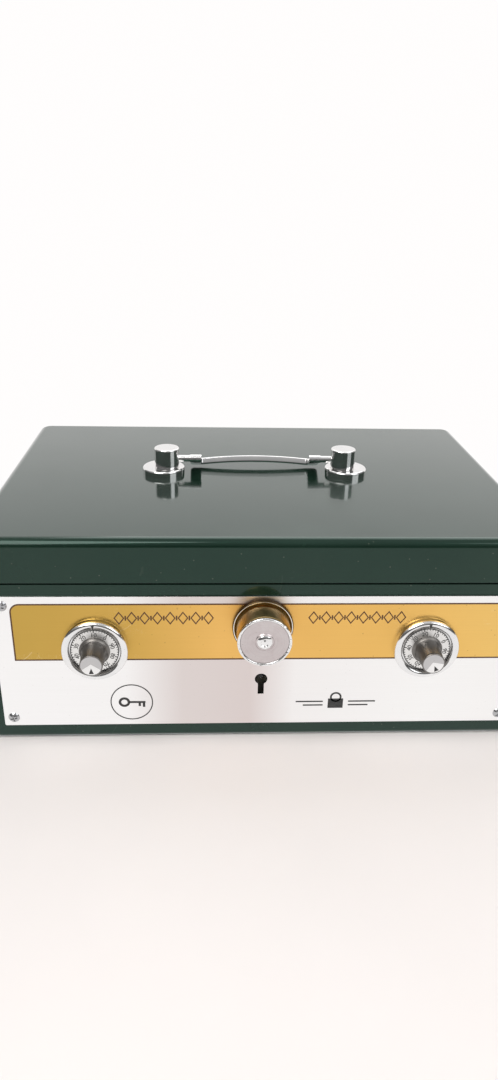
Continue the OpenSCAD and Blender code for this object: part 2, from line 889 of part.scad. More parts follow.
// hooks that hang from the lid into the latch, each open to the left
module strikers() {
    top = lid_under - foot_t;
    color(zinc)
        for (side = [-1, 1]) {
            upright_plate(inside + striker_at, striker_t)
                translate([side * striker_x - striker_w / 2, 0])
                    difference() {
                        translate([0, hook_low]) square([striker_w, lid_under - hook_low]);
                        translate([-1, hook_low + hook_t]) square([notch_d + 1, notch_h]);
                    }
            translate([side * striker_x - striker_w / 2, inside + striker_at, top])
                cube([striker_w, striker_foot, foot_t]);
        }
}

module pocket_rivet_places() {
    for (side = [-1, 1], y = [pocket_front + 8, pocket_front + pocket_d - 8])
        translate([side * (pocket_w / 2 + pocket_flange / 2), y, 0]) children();
}

// shallow pan under the lid, open to the front
module document_pocket() {
    half = pocket_w / 2;
    color(enamel)
        difference() {
            union() {
                translate([0, 0, pocket_low])
                    linear_extrude(lid_under - pocket_low)
                        polygon([[-half, pocket_front], [-half, pocket_front + pocket_d],
                                 [half, pocket_front + pocket_d], [half, pocket_front],
                                 [0, pocket_front - pocket_peak]]);
                translate([-half - pocket_flange, pocket_front, lid_under - sheet])
                    cube([pocket_w + 2 * pocket_flange, pocket_d, sheet]);
            }
            translate([-half + sheet, pocket_front - pocket_peak - 1, pocket_low + sheet])
                cube([pocket_w - 2 * sheet, pocket_d + pocket_peak + 1 - sheet, pocket_gap + sheet]);
            translate([0, pocket_front - pocket_peak, pocket_low - 1])
                cylinder(r = 3, h = sheet + 2);
            pocket_rivet_places()
                translate([0, 0, lid_under - sheet - 1])
                    cylinder(r = rivet_r + fixed_fit, h = sheet + 2);
        }
}

module pocket_rivets() {
    head_r = 2.8;
    color(zinc)
        pocket_rivet_places() {
            translate([0, 0, lid_under - sheet - 0.5]) cylinder(r = rivet_r, h = sheet + 0.5);
            translate([0, 0, lid_under - sheet - rivet_head_t]) cylinder(r = head_r, h = rivet_head_t);
        }
}

module handle_posts() {
    edge = 0.6;
    color(chrome)
        for (side = [-1, 1])
            difference() {
                translate([side * post_x, handle_y, box_h + disc_h]) {
                    cylinder(r = post_d / 2, h = post_h - edge);
                    translate([0, 0, post_h - edge])
                        cylinder(r1 = post_d / 2, r2 = post_d / 2 - edge, h = edge);
                }
                translate([side * post_x, handle_y, box_h])
                    cylinder(r = post_rivet_r + fixed_fit, h = disc_h + post_rivet_in + 0.1);
                along_x(handle_y, pivot_z, pivot_d / 2 + running_fit,
                    side > 0 ? post_x - post_d : -post_x - 1, side > 0 ? post_x + 1 : -post_x + post_d);
            }
}

module handle_discs() {
    edge = 1;
    color(chrome)
        for (side = [-1, 1])
            difference() {
                translate([side * (post_x + disc_shift), handle_y, box_h]) {
                    cylinder(r = disc_d / 2, h = disc_h - edge);
                    translate([0, 0, disc_h - edge])
                        cylinder(r1 = disc_d / 2, r2 = disc_d / 2 - edge, h = edge);
                }
                translate([side * post_x, handle_y, box_h - 1])
                    cylinder(r = post_rivet_r + fixed_fit, h = disc_h + 2);
            }
}

module handle_rivets() {
    head_h = 2.2;
    head_r = 4.5;
    color(zinc)
        for (side = [-1, 1])
            translate([side * post_x, handle_y, lid_under]) {
                cylinder(r = post_rivet_r, h = sheet + disc_h + post_rivet_in);
                translate([0, 0, -head_h]) cylinder(r = head_r, h = head_h);
            }
}

// ---- handle ----

// bail with round ends that turn in the posts, and a grip that is bowed in its middle
module handle_bail() {
    leg_in = grip_clear / 2;
    color(chrome)
        translate([0, handle_y, pivot_z]) rotate([-fold_angle, 0, 0]) {
            for (side = [-1, 1]) {
                rod_from = side > 0 ? leg_in + 1 : -post_x + 2;
                leg_from = side > 0 ? leg_in : -leg_in - leg_w;
                along_x(0, 0, pivot_d / 2, rod_from, rod_from + post_x - leg_in - 3);
                along_x(0, 0, barrel_r, leg_from, leg_from + leg_w);
                translate([leg_from, 0, -grip_h / 2]) cube([leg_w, handle_reach, grip_h]);
            }
            translate([0, handle_reach + strip_t / 2, 0])
                rotate([90, 0, 0])
                    linear_extrude(strip_t)
                        intersection() {
                            translate([0, bow - bow_r])
                                difference() {
                                    circle(r = bow_r + grip_h / 2, $fn = 360);
                                    circle(r = bow_r - grip_h / 2, $fn = 360);
                                }
                            translate([-leg_in - leg_w, -4 * bow])
                                square([2 * (leg_in + leg_w), 8 * bow]);
                        }
        }
}

// ---- tray ----

module tray_outline(grow) {
    rounded(tray_w + 2 * grow, tray_d + 2 * grow, tray_r + grow);
}

module tray_pan() {
    color(beige)
        translate([0, tray_y, 0])
            difference() {
                union() {
                    translate([0, 0, tray_low]) linear_extrude(tray_h) tray_outline(0);
                    translate([0, 0, tray_top - sheet]) linear_extrude(sheet) tray_outline(tray_rim);
                }
                translate([0, 0, tray_low + sheet]) linear_extrude(tray_h) tray_outline(-sheet);
            }
}

module tray_divider() {
    color(beige)
        translate([-sheet / 2, tray_front + sheet, tray_low + sheet])
            cube([sheet, tray_d - 2 * sheet, tray_h - sheet - 3]);
}

// one U-shaped bracket for each clamp
module clamp_brackets() {
    inner = clamp_w / 2 + ear_gap;
    floor_z = tray_low + sheet;
    color(zinc)
        for (side = [-1, 1])
            difference() {
                translate([side * clamp_x - inner - ear_t, clamp_y - 5, floor_z])
                    cube([2 * (inner + ear_t), 10, clamp_z - floor_z + 3.5]);
                translate([side * clamp_x - inner, clamp_y - 6, floor_z + 0.8])
                    cube([2 * inner, 12, clamp_z]);
                along_x(clamp_y, clamp_z, clamp_pin_d / 2 + fixed_fit, side * clamp_x - clamp_w,
                    side * clamp_x + clamp_w);
            }
}

module clamp_pins() {
    reach = clamp_w / 2 + ear_gap + ear_t + 0.5;
    color(steel)
        for (side = [-1, 1])
            along_x(clamp_y, clamp_z, clamp_pin_d / 2, side * clamp_x - reach, side * clamp_x + reach);
}

// sheet strap that holds bank notes down in its compartment
module bill_clamp(side) {
    low = tray_low + 2 * sheet - clamp_z;
    color(strap)
        translate([side * clamp_x - clamp_w / 2, clamp_y, clamp_z])
            difference() {
                union() {
                    along_x(0, 0, clamp_knuckle_r, 0, clamp_w);
                    rotate([90, 0, 90])
                        linear_extrude(clamp_w)
                            polygon([[0, -clamp_knuckle_r], [-6, low], [5 - clamp_len, low],
                                     [-clamp_len, low + 3], [0.5 - clamp_len, low + 4],
                                     [5.3 - clamp_len, low + clamp_t], [-6.2, low + clamp_t],
                                     [-1, -clamp_knuckle_r + clamp_t]]);
                }
                along_x(0, 0, clamp_pin_d / 2 + running_fit, -1, clamp_w + 1);
            }
}

body_shell();
rim_frame();
faceplate();
faceplate_screws();
dial_bezel(-1);  // left_dial_bezel
dial_bezel(1);  // right_dial_bezel
dial_nuts();
knob_escutcheon();
knob_nut();
lock_case();
lock_case_screws();
slide_guides();
bolt_guides();
key_post();
lever_pivot();
hinge_body_leaves();
hinge_pins();
hinge_rivets(body_rivet_z);  // hinge_body_rivets
dial_disc(-1);  // left_dial_disc
dial_knob(-1);  // left_dial_knob
dial_spindle(-1);  // left_dial_spindle
combination_wheel(-1);  // left_combination_wheel
wheel_nut(-1);  // left_wheel_nut
dial_disc(1);  // right_dial_disc
dial_knob(1);  // right_dial_knob
dial_spindle(1);  // right_dial_spindle
combination_wheel(1);  // right_combination_wheel
wheel_nut(1);  // right_wheel_nut
turn_knob();
knob_boss();
knob_spindle();
knob_crank();
latch_slide();
lock_bolt();
lock_lever();
lever_spring();
lid_shell();
hinge_lid_leaves();
hinge_rivets(lid_rivet_z);  // hinge_lid_rivets
strikers();
document_pocket();
pocket_rivets();
handle_posts();
handle_discs();
handle_rivets();
handle_bail();
tray_pan();
tray_divider();
clamp_brackets();
clamp_pins();
bill_clamp(-1);  // left_bill_clamp
bill_clamp(1);  // right_bill_clamp
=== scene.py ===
import json
import math

import bmesh
import bpy
from mathutils import Matrix, Vector, noise


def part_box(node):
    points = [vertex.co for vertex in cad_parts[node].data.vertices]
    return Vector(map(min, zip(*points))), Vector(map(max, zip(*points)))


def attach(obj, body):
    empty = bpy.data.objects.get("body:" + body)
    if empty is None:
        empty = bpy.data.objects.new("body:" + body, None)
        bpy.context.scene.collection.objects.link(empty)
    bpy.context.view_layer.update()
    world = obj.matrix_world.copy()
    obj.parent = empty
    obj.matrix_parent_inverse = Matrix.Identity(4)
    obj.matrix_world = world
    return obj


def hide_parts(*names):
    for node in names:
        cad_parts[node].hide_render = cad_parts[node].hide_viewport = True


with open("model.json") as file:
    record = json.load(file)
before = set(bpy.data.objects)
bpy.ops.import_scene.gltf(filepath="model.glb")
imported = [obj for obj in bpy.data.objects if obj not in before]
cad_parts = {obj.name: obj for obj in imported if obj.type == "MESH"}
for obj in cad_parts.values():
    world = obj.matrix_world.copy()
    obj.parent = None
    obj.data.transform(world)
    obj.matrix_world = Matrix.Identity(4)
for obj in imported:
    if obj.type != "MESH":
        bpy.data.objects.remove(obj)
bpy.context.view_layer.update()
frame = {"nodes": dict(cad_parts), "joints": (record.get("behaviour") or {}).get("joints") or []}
joints = {joint["name"]: joint for joint in frame["joints"]}
mm = 0.001
print("frame loaded:", len(frame["nodes"]), "nodes")


# places that the pieces share, all taken from the frame
def jointPlace(name):
    return Vector(joints[name]["pos_m"])


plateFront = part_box("faceplate")[0].y
lidLow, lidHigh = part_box("lid_shell")
discLow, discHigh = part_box("handle_discs")
knobAxis = jointPlace("knob_turn")
dialAxes = {"left": jointPlace("left_dial_turn"), "right": jointPlace("right_dial_turn")}
handlePivot = jointPlace("handle_fold")


# ---- node groups ----

def putNode(tree, kind, settings=None, **sockets):
    node = tree.nodes.new(kind)
    for name, value in (settings or {}).items():
        setattr(node, name, value)
    for name, value in sockets.items():
        node.inputs[name.replace("_", " ")].default_value = value
    return node


def putMath(tree, operation, first, second=None):
    node = putNode(tree, "ShaderNodeMath", {"operation": operation})
    for socket, value in zip(node.inputs, (first, second)):
        if isinstance(value, bpy.types.NodeSocket):
            tree.links.new(value, socket)
        elif value is not None:
            socket.default_value = value
    return node.outputs[0]


def putRamp(tree, factor, stops):
    node = tree.nodes.new("ShaderNodeValToRGB")
    elements = node.color_ramp.elements
    while len(elements) < len(stops):
        elements.new(0.5)
    for element, (place, shade) in zip(elements, stops):
        element.position = place
        element.color = (shade, shade, shade, 1) if isinstance(shade, (int, float)) else (*shade, 1)
    tree.links.new(factor, node.inputs["Fac"])
    return node.outputs["Color"]


def newGroup(name, inputs, outputs):
    group = bpy.data.node_groups.new(name, "ShaderNodeTree")
    for label, kind, value in inputs:
        socket = group.interface.new_socket(name=label, in_out="INPUT", socket_type=kind)
        if value is not None:
            socket.default_value = value
    for label, kind in outputs:
        group.interface.new_socket(name=label, in_out="OUTPUT", socket_type=kind)
    return group, group.nodes.new("NodeGroupInput"), group.nodes.new("NodeGroupOutput")


numberSocket, colourSocket, vectorSocket = "NodeSocketFloat", "NodeSocketColor", "NodeSocketVector"


def makeHandlingGroup():
    # smudges, hair scratches and dust specks from years of use
    group, given, out = newGroup("handlingMarks", [
        ("Vector", vectorSocket, None), ("Smudge Scale", numberSocket, 18.0),
        ("Scratch Scale", numberSocket, 60.0), ("Speck Scale", numberSocket, 600.0),
    ], [("Smudges", numberSocket), ("Scratches", numberSocket), ("Specks", numberSocket)])
    link = group.links.new
    smudge = putNode(group, "ShaderNodeTexNoise", Detail=5.0, Roughness=0.62, Distortion=0.4)
    link(given.outputs["Vector"], smudge.inputs["Vector"])
    link(given.outputs["Smudge Scale"], smudge.inputs["Scale"])
    link(putRamp(group, smudge.outputs["Fac"], [(0.36, 0), (0.68, 1)]), out.inputs["Smudges"])
    lines = []
    for turn, stretch in ((0.5, (1, 22, 1)), (-0.9, (26, 1, 3)), (1.3, (3, 1, 24))):
        mapping = putNode(group, "ShaderNodeMapping", Rotation=(turn * 0.3, turn * 0.5, turn), Scale=stretch)
        link(given.outputs["Vector"], mapping.inputs["Vector"])
        streak = putNode(group, "ShaderNodeTexNoise", Detail=0.0)
        link(mapping.outputs["Vector"], streak.inputs["Vector"])
        link(given.outputs["Scratch Scale"], streak.inputs["Scale"])
        off = putMath(group, "ABSOLUTE", putMath(group, "SUBTRACT", streak.outputs["Fac"], 0.5))
        lines.append(putMath(group, "LESS_THAN", off, 0.0035))
    few = putNode(group, "ShaderNodeTexNoise", Scale=31.0)
    link(given.outputs["Vector"], few.inputs["Vector"])
    anyLine = putMath(group, "MAXIMUM", putMath(group, "MAXIMUM", lines[0], lines[1]), lines[2])
    kept = putMath(group, "GREATER_THAN", few.outputs["Fac"], 0.62)
    link(putMath(group, "MULTIPLY", anyLine, kept), out.inputs["Scratches"])
    cells = putNode(group, "ShaderNodeTexVoronoi")
    link(given.outputs["Vector"], cells.inputs["Vector"])
    link(given.outputs["Speck Scale"], cells.inputs["Scale"])
    split = group.nodes.new("ShaderNodeSeparateColor")
    link(cells.outputs["Color"], split.inputs["Color"])
    near = putMath(group, "LESS_THAN", cells.outputs["Distance"], 0.16)
    link(putMath(group, "MULTIPLY", near, putMath(group, "GREATER_THAN", split.outputs[0], 0.93)),
         out.inputs["Specks"])
    return group


def makeBrushedGroup():
    # long fine lines left by brushing sheet metal along x
    group, given, out = newGroup("brushedLines", [
        ("Vector", vectorSocket, None), ("Stretch", vectorSocket, (6.0, 500.0, 900.0)),
    ], [("Height", numberSocket), ("Tone", numberSocket)])
    link = group.links.new
    scaled = putNode(group, "ShaderNodeVectorMath", {"operation": "MULTIPLY"})
    link(given.outputs["Vector"], scaled.inputs[0])
    link(given.outputs["Stretch"], scaled.inputs[1])
    lines = putNode(group, "ShaderNodeTexNoise", Scale=3.0, Detail=6.0, Roughness=0.7)
    link(scaled.outputs[0], lines.inputs["Vector"])
    link(lines.outputs["Fac"], out.inputs["Height"])
    link(putRamp(group, lines.outputs["Fac"], [(0.3, 0), (0.7, 1)]), out.inputs["Tone"])
    return group


def makeTurnedGroup():
    # fine rings left by a lathe tool round an axis along y
    group, given, out = newGroup("turnedRings", [
        ("Vector", vectorSocket, None), ("Centre", vectorSocket, None), ("Rings", numberSocket, 2600.0),
    ], [("Height", numberSocket), ("Tone", numberSocket)])
    link = group.links.new
    moved = putNode(group, "ShaderNodeVectorMath", {"operation": "SUBTRACT"})
    link(given.outputs["Vector"], moved.inputs[0])
    link(given.outputs["Centre"], moved.inputs[1])
    flat = putNode(group, "ShaderNodeVectorMath", {"operation": "MULTIPLY"})
    flat.inputs[1].default_value = (1, 0, 1)
    link(moved.outputs[0], flat.inputs[0])
    radius = putNode(group, "ShaderNodeVectorMath", {"operation": "LENGTH"})
    link(flat.outputs[0], radius.inputs[0])
    along = putMath(group, "MULTIPLY", radius.outputs["Value"], given.outputs["Rings"])
    rings = putNode(group, "ShaderNodeTexNoise", {"noise_dimensions": "1D"},
                    Scale=1.0, Detail=4.0, Roughness=0.8)
    link(along, rings.inputs["W"])
    link(rings.outputs["Fac"], out.inputs["Height"])
    link(putRamp(group, rings.outputs["Fac"], [(0.3, 0), (0.7, 1)]), out.inputs["Tone"])
    return group


def makeCloudGroup():
    # slow drift between two shades of one finish
    group, given, out = newGroup("cloudedTone", [
        ("Vector", vectorSocket, None), ("Scale", numberSocket, 12.0),
        ("First", colourSocket, (1, 1, 1, 1)), ("Second", colourSocket, (0, 0, 0, 1)),
    ], [("Colour", colourSocket)])
    link = group.links.new
    drift = putNode(group, "ShaderNodeTexNoise", Detail=4.0, Roughness=0.55)
    link(given.outputs["Vector"], drift.inputs["Vector"])
    link(given.outputs["Scale"], drift.inputs["Scale"])
    mix = putNode(group, "ShaderNodeMix", {"data_type": "RGBA"})
    link(putRamp(group, drift.outputs["Fac"], [(0.35, 0), (0.65, 1)]), mix.inputs["Factor"])
    link(given.outputs["First"], mix.inputs["A"])
    link(given.outputs["Second"], mix.inputs["B"])
    link(mix.outputs["Result"], out.inputs["Colour"])
    return group


def makePeelGroup():
    # the faint waviness of sprayed and baked paint
    group, given, out = newGroup("paintPeel", [
        ("Vector", vectorSocket, None), ("Scale", numberSocket, 420.0),
    ], [("Height", numberSocket)])
    link = group.links.new
    fine = putNode(group, "ShaderNodeTexNoise", Detail=2.0, Roughness=0.4)
    link(given.outputs["Vector"], fine.inputs["Vector"])
    link(given.outputs["Scale"], fine.inputs["Scale"])
    slow = putNode(group, "ShaderNodeTexNoise", Scale=38.0, Detail=2.0)
    link(given.outputs["Vector"], slow.inputs["Vector"])
    link(putMath(group, "ADD", fine.outputs["Fac"], putMath(group, "MULTIPLY", slow.outputs["Fac"], 3.0)),
         out.inputs["Height"])
    return group


handlingGroup = makeHandlingGroup()
brushedGroup = makeBrushedGroup()
turnedGroup = makeTurnedGroup()
cloudGroup = makeCloudGroup()
peelGroup = makePeelGroup()
print("shader groups made")


# ---- materials ----

class Finish:
    # a material with one Principled shader and the coordinates that its groups read
    def __init__(self, name, metallic=0.0, **sockets):
        self.material = bpy.data.materials.new(name)
        self.material.use_nodes = True
        self.tree = self.material.node_tree
        self.shader = self.tree.nodes["Principled BSDF"]
        self.shader.inputs["Metallic"].default_value = metallic
        for label, value in sockets.items():
            self.shader.inputs[label.replace("_", " ")].default_value = value
        self.coordinates = self.tree.nodes.new("ShaderNodeTexCoord").outputs["Object"]

    def group(self, group, **sockets):
        node = self.tree.nodes.new("ShaderNodeGroup")
        node.node_tree = group
        self.tree.links.new(self.coordinates, node.inputs["Vector"])
        for label, value in sockets.items():
            node.inputs[label.replace("_", " ")].default_value = value
        return node

    def clouds(self, first, second, scale):
        return self.group(cloudGroup, First=(*first, 1), Second=(*second, 1), Scale=scale).outputs["Colour"]

    def blend(self, factor, first, second):
        mix = putNode(self.tree, "ShaderNodeMix", {"data_type": "RGBA"})
        for label, value in (("Factor", factor), ("A", first), ("B", second)):
            socket = next(s for s in mix.inputs if s.name == label and s.enabled)
            if isinstance(value, bpy.types.NodeSocket):
                self.tree.links.new(value, socket)
            else:
                socket.default_value = value if isinstance(value, (int, float)) else (*value, 1)
        return next(s for s in mix.outputs if s.enabled)

    def scaled(self, value, low, high):
        # brings a mask that runs from 0 to 1 into a range
        return putMath(self.tree, "ADD", putMath(self.tree, "MULTIPLY", value, high - low), low)

    def feed(self, value, label):
        self.tree.links.new(value, self.shader.inputs[label])

    def bump(self, height, strength, distance):
        node = putNode(self.tree, "ShaderNodeBump", Strength=strength, Distance=distance)
        self.tree.links.new(height, node.inputs["Height"])
        self.tree.links.new(node.outputs["Normal"], self.shader.inputs["Normal"])


def makeEnamel(name, first, second, dust, roughness, coat=0.0, tint=(1, 1, 1)):
    # baked enamel over sheet steel
    finish = Finish(name, IOR=1.34, Specular_Tint=(*tint, 1),
                    Coat_Weight=coat, Coat_IOR=1.34, Coat_Roughness=0.06)
    marks = finish.group(handlingGroup, Smudge_Scale=9.0, Scratch_Scale=26.0, Speck_Scale=420.0)
    tone = finish.clouds(first, second, 7.0)
    tone = finish.blend(finish.scaled(marks.outputs["Scratches"], 0, 0.07), tone, dust)
    tone = finish.blend(finish.scaled(marks.outputs["Specks"], 0, 0.35), tone, dust)
    finish.feed(tone, "Base Color")
    finish.feed(finish.scaled(marks.outputs["Smudges"], *roughness), "Roughness")
    finish.bump(finish.group(peelGroup).outputs["Height"], 0.25, 0.00004)
    return finish.material


def makeBrushed(name, spread, tones, overlays, scales, roughness):
    # sheet metal brushed along x, its base colour ramped from left to right; on the faceplate the ramp is a
    # painted reflection
    finish = Finish(name, metallic=1.0, Anisotropic=0.5)
    lines = finish.group(brushedGroup, Stretch=(5.0, 300.0, 1100.0))
    marks = finish.group(handlingGroup, **scales)
    masks = {"Lines": lines.outputs["Tone"], "Scratches": marks.outputs["Scratches"],
             "Specks": marks.outputs["Specks"]}
    split = finish.tree.nodes.new("ShaderNodeSeparateXYZ")
    finish.tree.links.new(finish.coordinates, split.inputs["Vector"])
    across = putMath(finish.tree, "ADD", putMath(finish.tree, "MULTIPLY", split.outputs["X"], spread), 0.5)
    # base colour ramp across x; on the faceplate its stops are a painted reflection
    tone = putRamp(finish.tree, across, tones)
    for mask, depth, shade in overlays:
        tone = finish.blend(finish.scaled(masks[mask], 0, depth), tone, shade)
    finish.feed(tone, "Base Color")
    finish.feed(finish.scaled(marks.outputs["Smudges"], *roughness), "Roughness")
    finish.bump(lines.outputs["Height"], 0.12, 0.00002)
    return finish.material


def makeInk(name, first, second):
    # printing ink, thin in places
    finish = Finish(name)
    finish.feed(finish.clouds(first, second, 900.0), "Base Color")
    marks = finish.group(handlingGroup, Smudge_Scale=200.0)
    finish.feed(finish.scaled(marks.outputs["Smudges"], 0.38, 0.6), "Roughness")
    return finish.material


def makePlating(name, first, second, roughness, pits):
    # bright or dull plating with rubbed patches and small pits
    finish = Finish(name, metallic=1.0)
    marks = finish.group(handlingGroup, Smudge_Scale=70.0, Scratch_Scale=90.0, Speck_Scale=1100.0)
    tone = finish.clouds(first, second, 60.0)
    tone = finish.blend(finish.scaled(marks.outputs["Specks"], 0, pits), tone, (0.12, 0.10, 0.08))
    finish.feed(tone, "Base Color")
    worn = putMath(finish.tree, "MAXIMUM", marks.outputs["Smudges"], marks.outputs["Scratches"])
    finish.feed(finish.scaled(worn, *roughness), "Roughness")
    finish.bump(marks.outputs["Scratches"], 0.15, -0.00002)
    return finish.material


def makeTurned(name, centre, first, second, roughness, rings=2600.0, patches=0.2):
    # metal faced on a lathe
    finish = Finish(name, metallic=1.0)
    cuts = finish.group(turnedGroup, Centre=tuple(centre), Rings=rings)
    marks = finish.group(handlingGroup, Smudge_Scale=120.0, Scratch_Scale=140.0, Speck_Scale=900.0)
    tone = finish.blend(cuts.outputs["Tone"], first, second)
    tone = finish.blend(finish.scaled(marks.outputs["Smudges"], 0, patches), tone, (0.80, 0.77, 0.76))
    tone = finish.blend(finish.scaled(marks.outputs["Specks"], 0, 0.6), tone, (0.16, 0.14, 0.12))
    finish.feed(tone, "Base Color")
    finish.feed(finish.scaled(marks.outputs["Smudges"], *roughness), "Roughness")
    finish.bump(cuts.outputs["Height"], 0.2, 0.00002)
    return finish.material


greenEnamel = makeEnamel(
    "greenEnamel", (0.005, 0.018, 0.011), (0.010, 0.024, 0.016), (0.15, 0.15, 0.12), (0.10, 0.32),
    coat=1.0, tint=(0.25, 0.85, 0.62))
innerEnamel = makeEnamel(
    "innerEnamel", (0.012, 0.040, 0.029), (0.018, 0.050, 0.037), (0.18, 0.19, 0.17), (0.24, 0.36))
beigeEnamel = makeEnamel(
    "beigeEnamel", (0.58, 0.43, 0.31), (0.66, 0.51, 0.38), (0.34, 0.27, 0.20), (0.40, 0.55))
brownEnamel = makeEnamel(
    "brownEnamel", (0.022, 0.013, 0.010), (0.034, 0.021, 0.016), (0.20, 0.17, 0.14), (0.24, 0.38))
# the faceplate's tone stops are a painted reflection: near-white at the ends, a pinkish-grey band just left of
# the middle
brushedPlate = makeBrushed(
    "brushedPlate", 3.3, [
        (0.0, (0.99, 0.985, 0.98)), (0.26, (0.98, 0.97, 0.965)), (0.36, (0.76, 0.69, 0.67)),
        (0.48, (0.74, 0.655, 0.635)), (0.56, (0.95, 0.93, 0.92)), (0.8, (0.99, 0.985, 0.975)),
        (1.0, (0.97, 0.955, 0.945))],
    [("Lines", 0.14, (0.74, 0.71, 0.70)), ("Specks", 0.15, (0.45, 0.42, 0.40))],
    {"Smudge_Scale": 9.0, "Scratch_Scale": 30.0, "Speck_Scale": 500.0}, (0.29, 0.34))
goldFoil = makeBrushed(
    "goldFoil", 3.6, [
        (0.0, (0.58, 0.38, 0.085)), (0.25, (0.68, 0.42, 0.10)), (0.42, (0.90, 0.53, 0.155)),
        (0.75, (0.88, 0.53, 0.15)), (1.0, (0.92, 0.60, 0.185))],
    [("Lines", 0.10, (0.40, 0.24, 0.06)), ("Scratches", 0.3, (0.95, 0.80, 0.50)),
     ("Specks", 0.4, (0.30, 0.18, 0.06))],
    {"Smudge_Scale": 20.0, "Scratch_Scale": 34.0, "Speck_Scale": 450.0}, (0.28, 0.38))
brownInk = makeInk("brownInk", (0.085, 0.032, 0.010), (0.13, 0.055, 0.018))
greyInk = makeInk("greyInk", (0.022, 0.022, 0.022), (0.05, 0.048, 0.046))
chrome = makePlating("chrome", (0.80, 0.80, 0.80), (0.88, 0.87, 0.86), (0.05, 0.14), 0.7)
# dark dull chrome used only for the dial knob bodies: painted shade for the shadowed knob base
shadedKnobChrome = makePlating("shadedKnobChrome", (0.19, 0.18, 0.17), (0.27, 0.255, 0.24), (0.36, 0.48), 0.7)
satinChrome = makePlating("satinChrome", (0.62, 0.44, 0.19), (0.72, 0.52, 0.25), (0.28, 0.38), 0.6)
# near-black used for the lock parts seen through the keyhole: painted shade
keyholeShadeBlack = makeInk("keyholeShadeBlack", (0.006, 0.005, 0.005), (0.012, 0.011, 0.010))
bronzeChrome = makePlating("bronzeChrome", (0.42, 0.29, 0.085), (0.50, 0.36, 0.12), (0.46, 0.58), 0.5)
# dark bronze used only for the escutcheon's outer edge, a painted shadow
paintedShadowBronze = makePlating("paintedShadowBronze", (0.075, 0.045, 0.018), (0.11, 0.07, 0.03), (0.24, 0.36), 0.4)
zincPlate = makePlating("zincPlate", (0.50, 0.49, 0.45), (0.62, 0.60, 0.54), (0.28, 0.44), 0.5)
springSteel = makePlating("springSteel", (0.44, 0.44, 0.45), (0.56, 0.56, 0.56), (0.16, 0.28), 0.4)
# pale metal used only for the painted highlight sector on the dial knob tips
paintedHighlightMetal = makePlating("paintedHighlightMetal", (0.88, 0.87, 0.86), (0.96, 0.95, 0.94), (0.30, 0.42), 0.4)
knobFaceMetal = makeTurned("knobFaceMetal", knobAxis, (0.50, 0.44, 0.44), (0.66, 0.585, 0.58), (0.30, 0.42),
                           patches=0.45)
print("materials made")


# ---- shaping helpers ----

def turnedShape(profile, steps=96):
    # spins an outline of radius and height round z
    bm = bmesh.new()
    corners = [bm.verts.new((radius, 0, height)) for radius, height in profile]
    for first, second in zip(corners, corners[1:] + corners[:1]):
        bm.edges.new((first, second))
    bmesh.ops.spin(bm, geom=bm.verts[:] + bm.edges[:], cent=(0, 0, 0), axis=(0, 0, 1),
                   angle=2 * math.pi, steps=steps, use_merge=True)
    bmesh.ops.remove_doubles(bm, verts=bm.verts[:], dist=1e-6)
    bmesh.ops.recalc_face_normals(bm, faces=bm.faces[:])
    return bm


def arcPoints(centre, radius, fromDegrees, toDegrees, count):
    # points of an arc, for a turned outline
    step = math.radians(toDegrees - fromDegrees) / (count - 1)
    start = math.radians(fromDegrees)
    return [(centre[0] + radius * math.cos(start + step * k), centre[1] + radius * math.sin(start + step * k))
            for k in range(count)]


def softenEdges(bm, width, segments, sharper):
    # rounds every edge that turns by more than an angle
    limit = math.radians(sharper)
    sharp = [edge for edge in bm.edges if len(edge.link_faces) == 2 and edge.calc_face_angle(0) > limit]
    bmesh.ops.bevel(bm, geom=sharp, offset=width, offset_type="OFFSET", segments=segments, profile=0.5,
                    affect="EDGES", clamp_overlap=True, material=-1)


def addBlock(bm, low, high):
    made = bmesh.ops.create_cube(bm, size=1)["verts"]
    low, high = Vector(low), Vector(high)
    bmesh.ops.scale(bm, vec=high - low, verts=made)
    bmesh.ops.translate(bm, vec=(low + high) / 2, verts=made)
    return made


def addRod(bm, radius, start, end, segments=48):
    # capped rod between two points
    start, end = Vector(start), Vector(end)
    made = bmesh.ops.create_cone(bm, cap_ends=True, segments=segments, radius1=radius, radius2=radius,
                                 depth=(end - start).length)["verts"]
    turn = Vector((0, 0, 1)).rotation_difference(end - start).to_matrix().to_4x4()
    bmesh.ops.transform(bm, matrix=Matrix.Translation((start + end) / 2) @ turn, verts=made)
    return made


def carve(bm, cutter):
    # takes one closed shape out of another
    objects = []
    for shape in (bm, cutter):
        mesh = bpy.data.meshes.new("carving")
        shape.to_mesh(mesh)
        shape.free()
        objects.append(bpy.data.objects.new("carving", mesh))
        bpy.context.scene.collection.objects.link(objects[-1])
    cut = objects[0].modifiers.new("cut", "BOOLEAN")
    cut.operation, cut.solver, cut.object = "DIFFERENCE", "EXACT", objects[1]
    carved = bmesh.new()
    carved.from_object(objects[0], bpy.context.evaluated_depsgraph_get())
    for thing in objects:
        bpy.data.meshes.remove(thing.data)
    bmesh.ops.remove_doubles(carved, verts=carved.verts[:], dist=1e-6)
    return carved


def joinInto(whole, part):
    # adds one finished shape to another
    held = bpy.data.meshes.new("held")
    part.to_mesh(held)
    part.free()
    whole.from_mesh(held)
    bpy.data.meshes.remove(held)


def roundOver(bm, parts, width, segments, kind="EDGES"):
    bmesh.ops.bevel(bm, geom=parts, offset=width, offset_type="OFFSET", segments=segments, profile=0.5,
                    affect=kind, material=-1)


def onFront(x, z, turn=0):
    # local z points out of the faceplate and local y points up
    return (Matrix.Translation((x, plateFront, z)) @ Matrix.Rotation(math.radians(90), 4, "X")
            @ Matrix.Rotation(math.radians(turn), 4, "Z"))


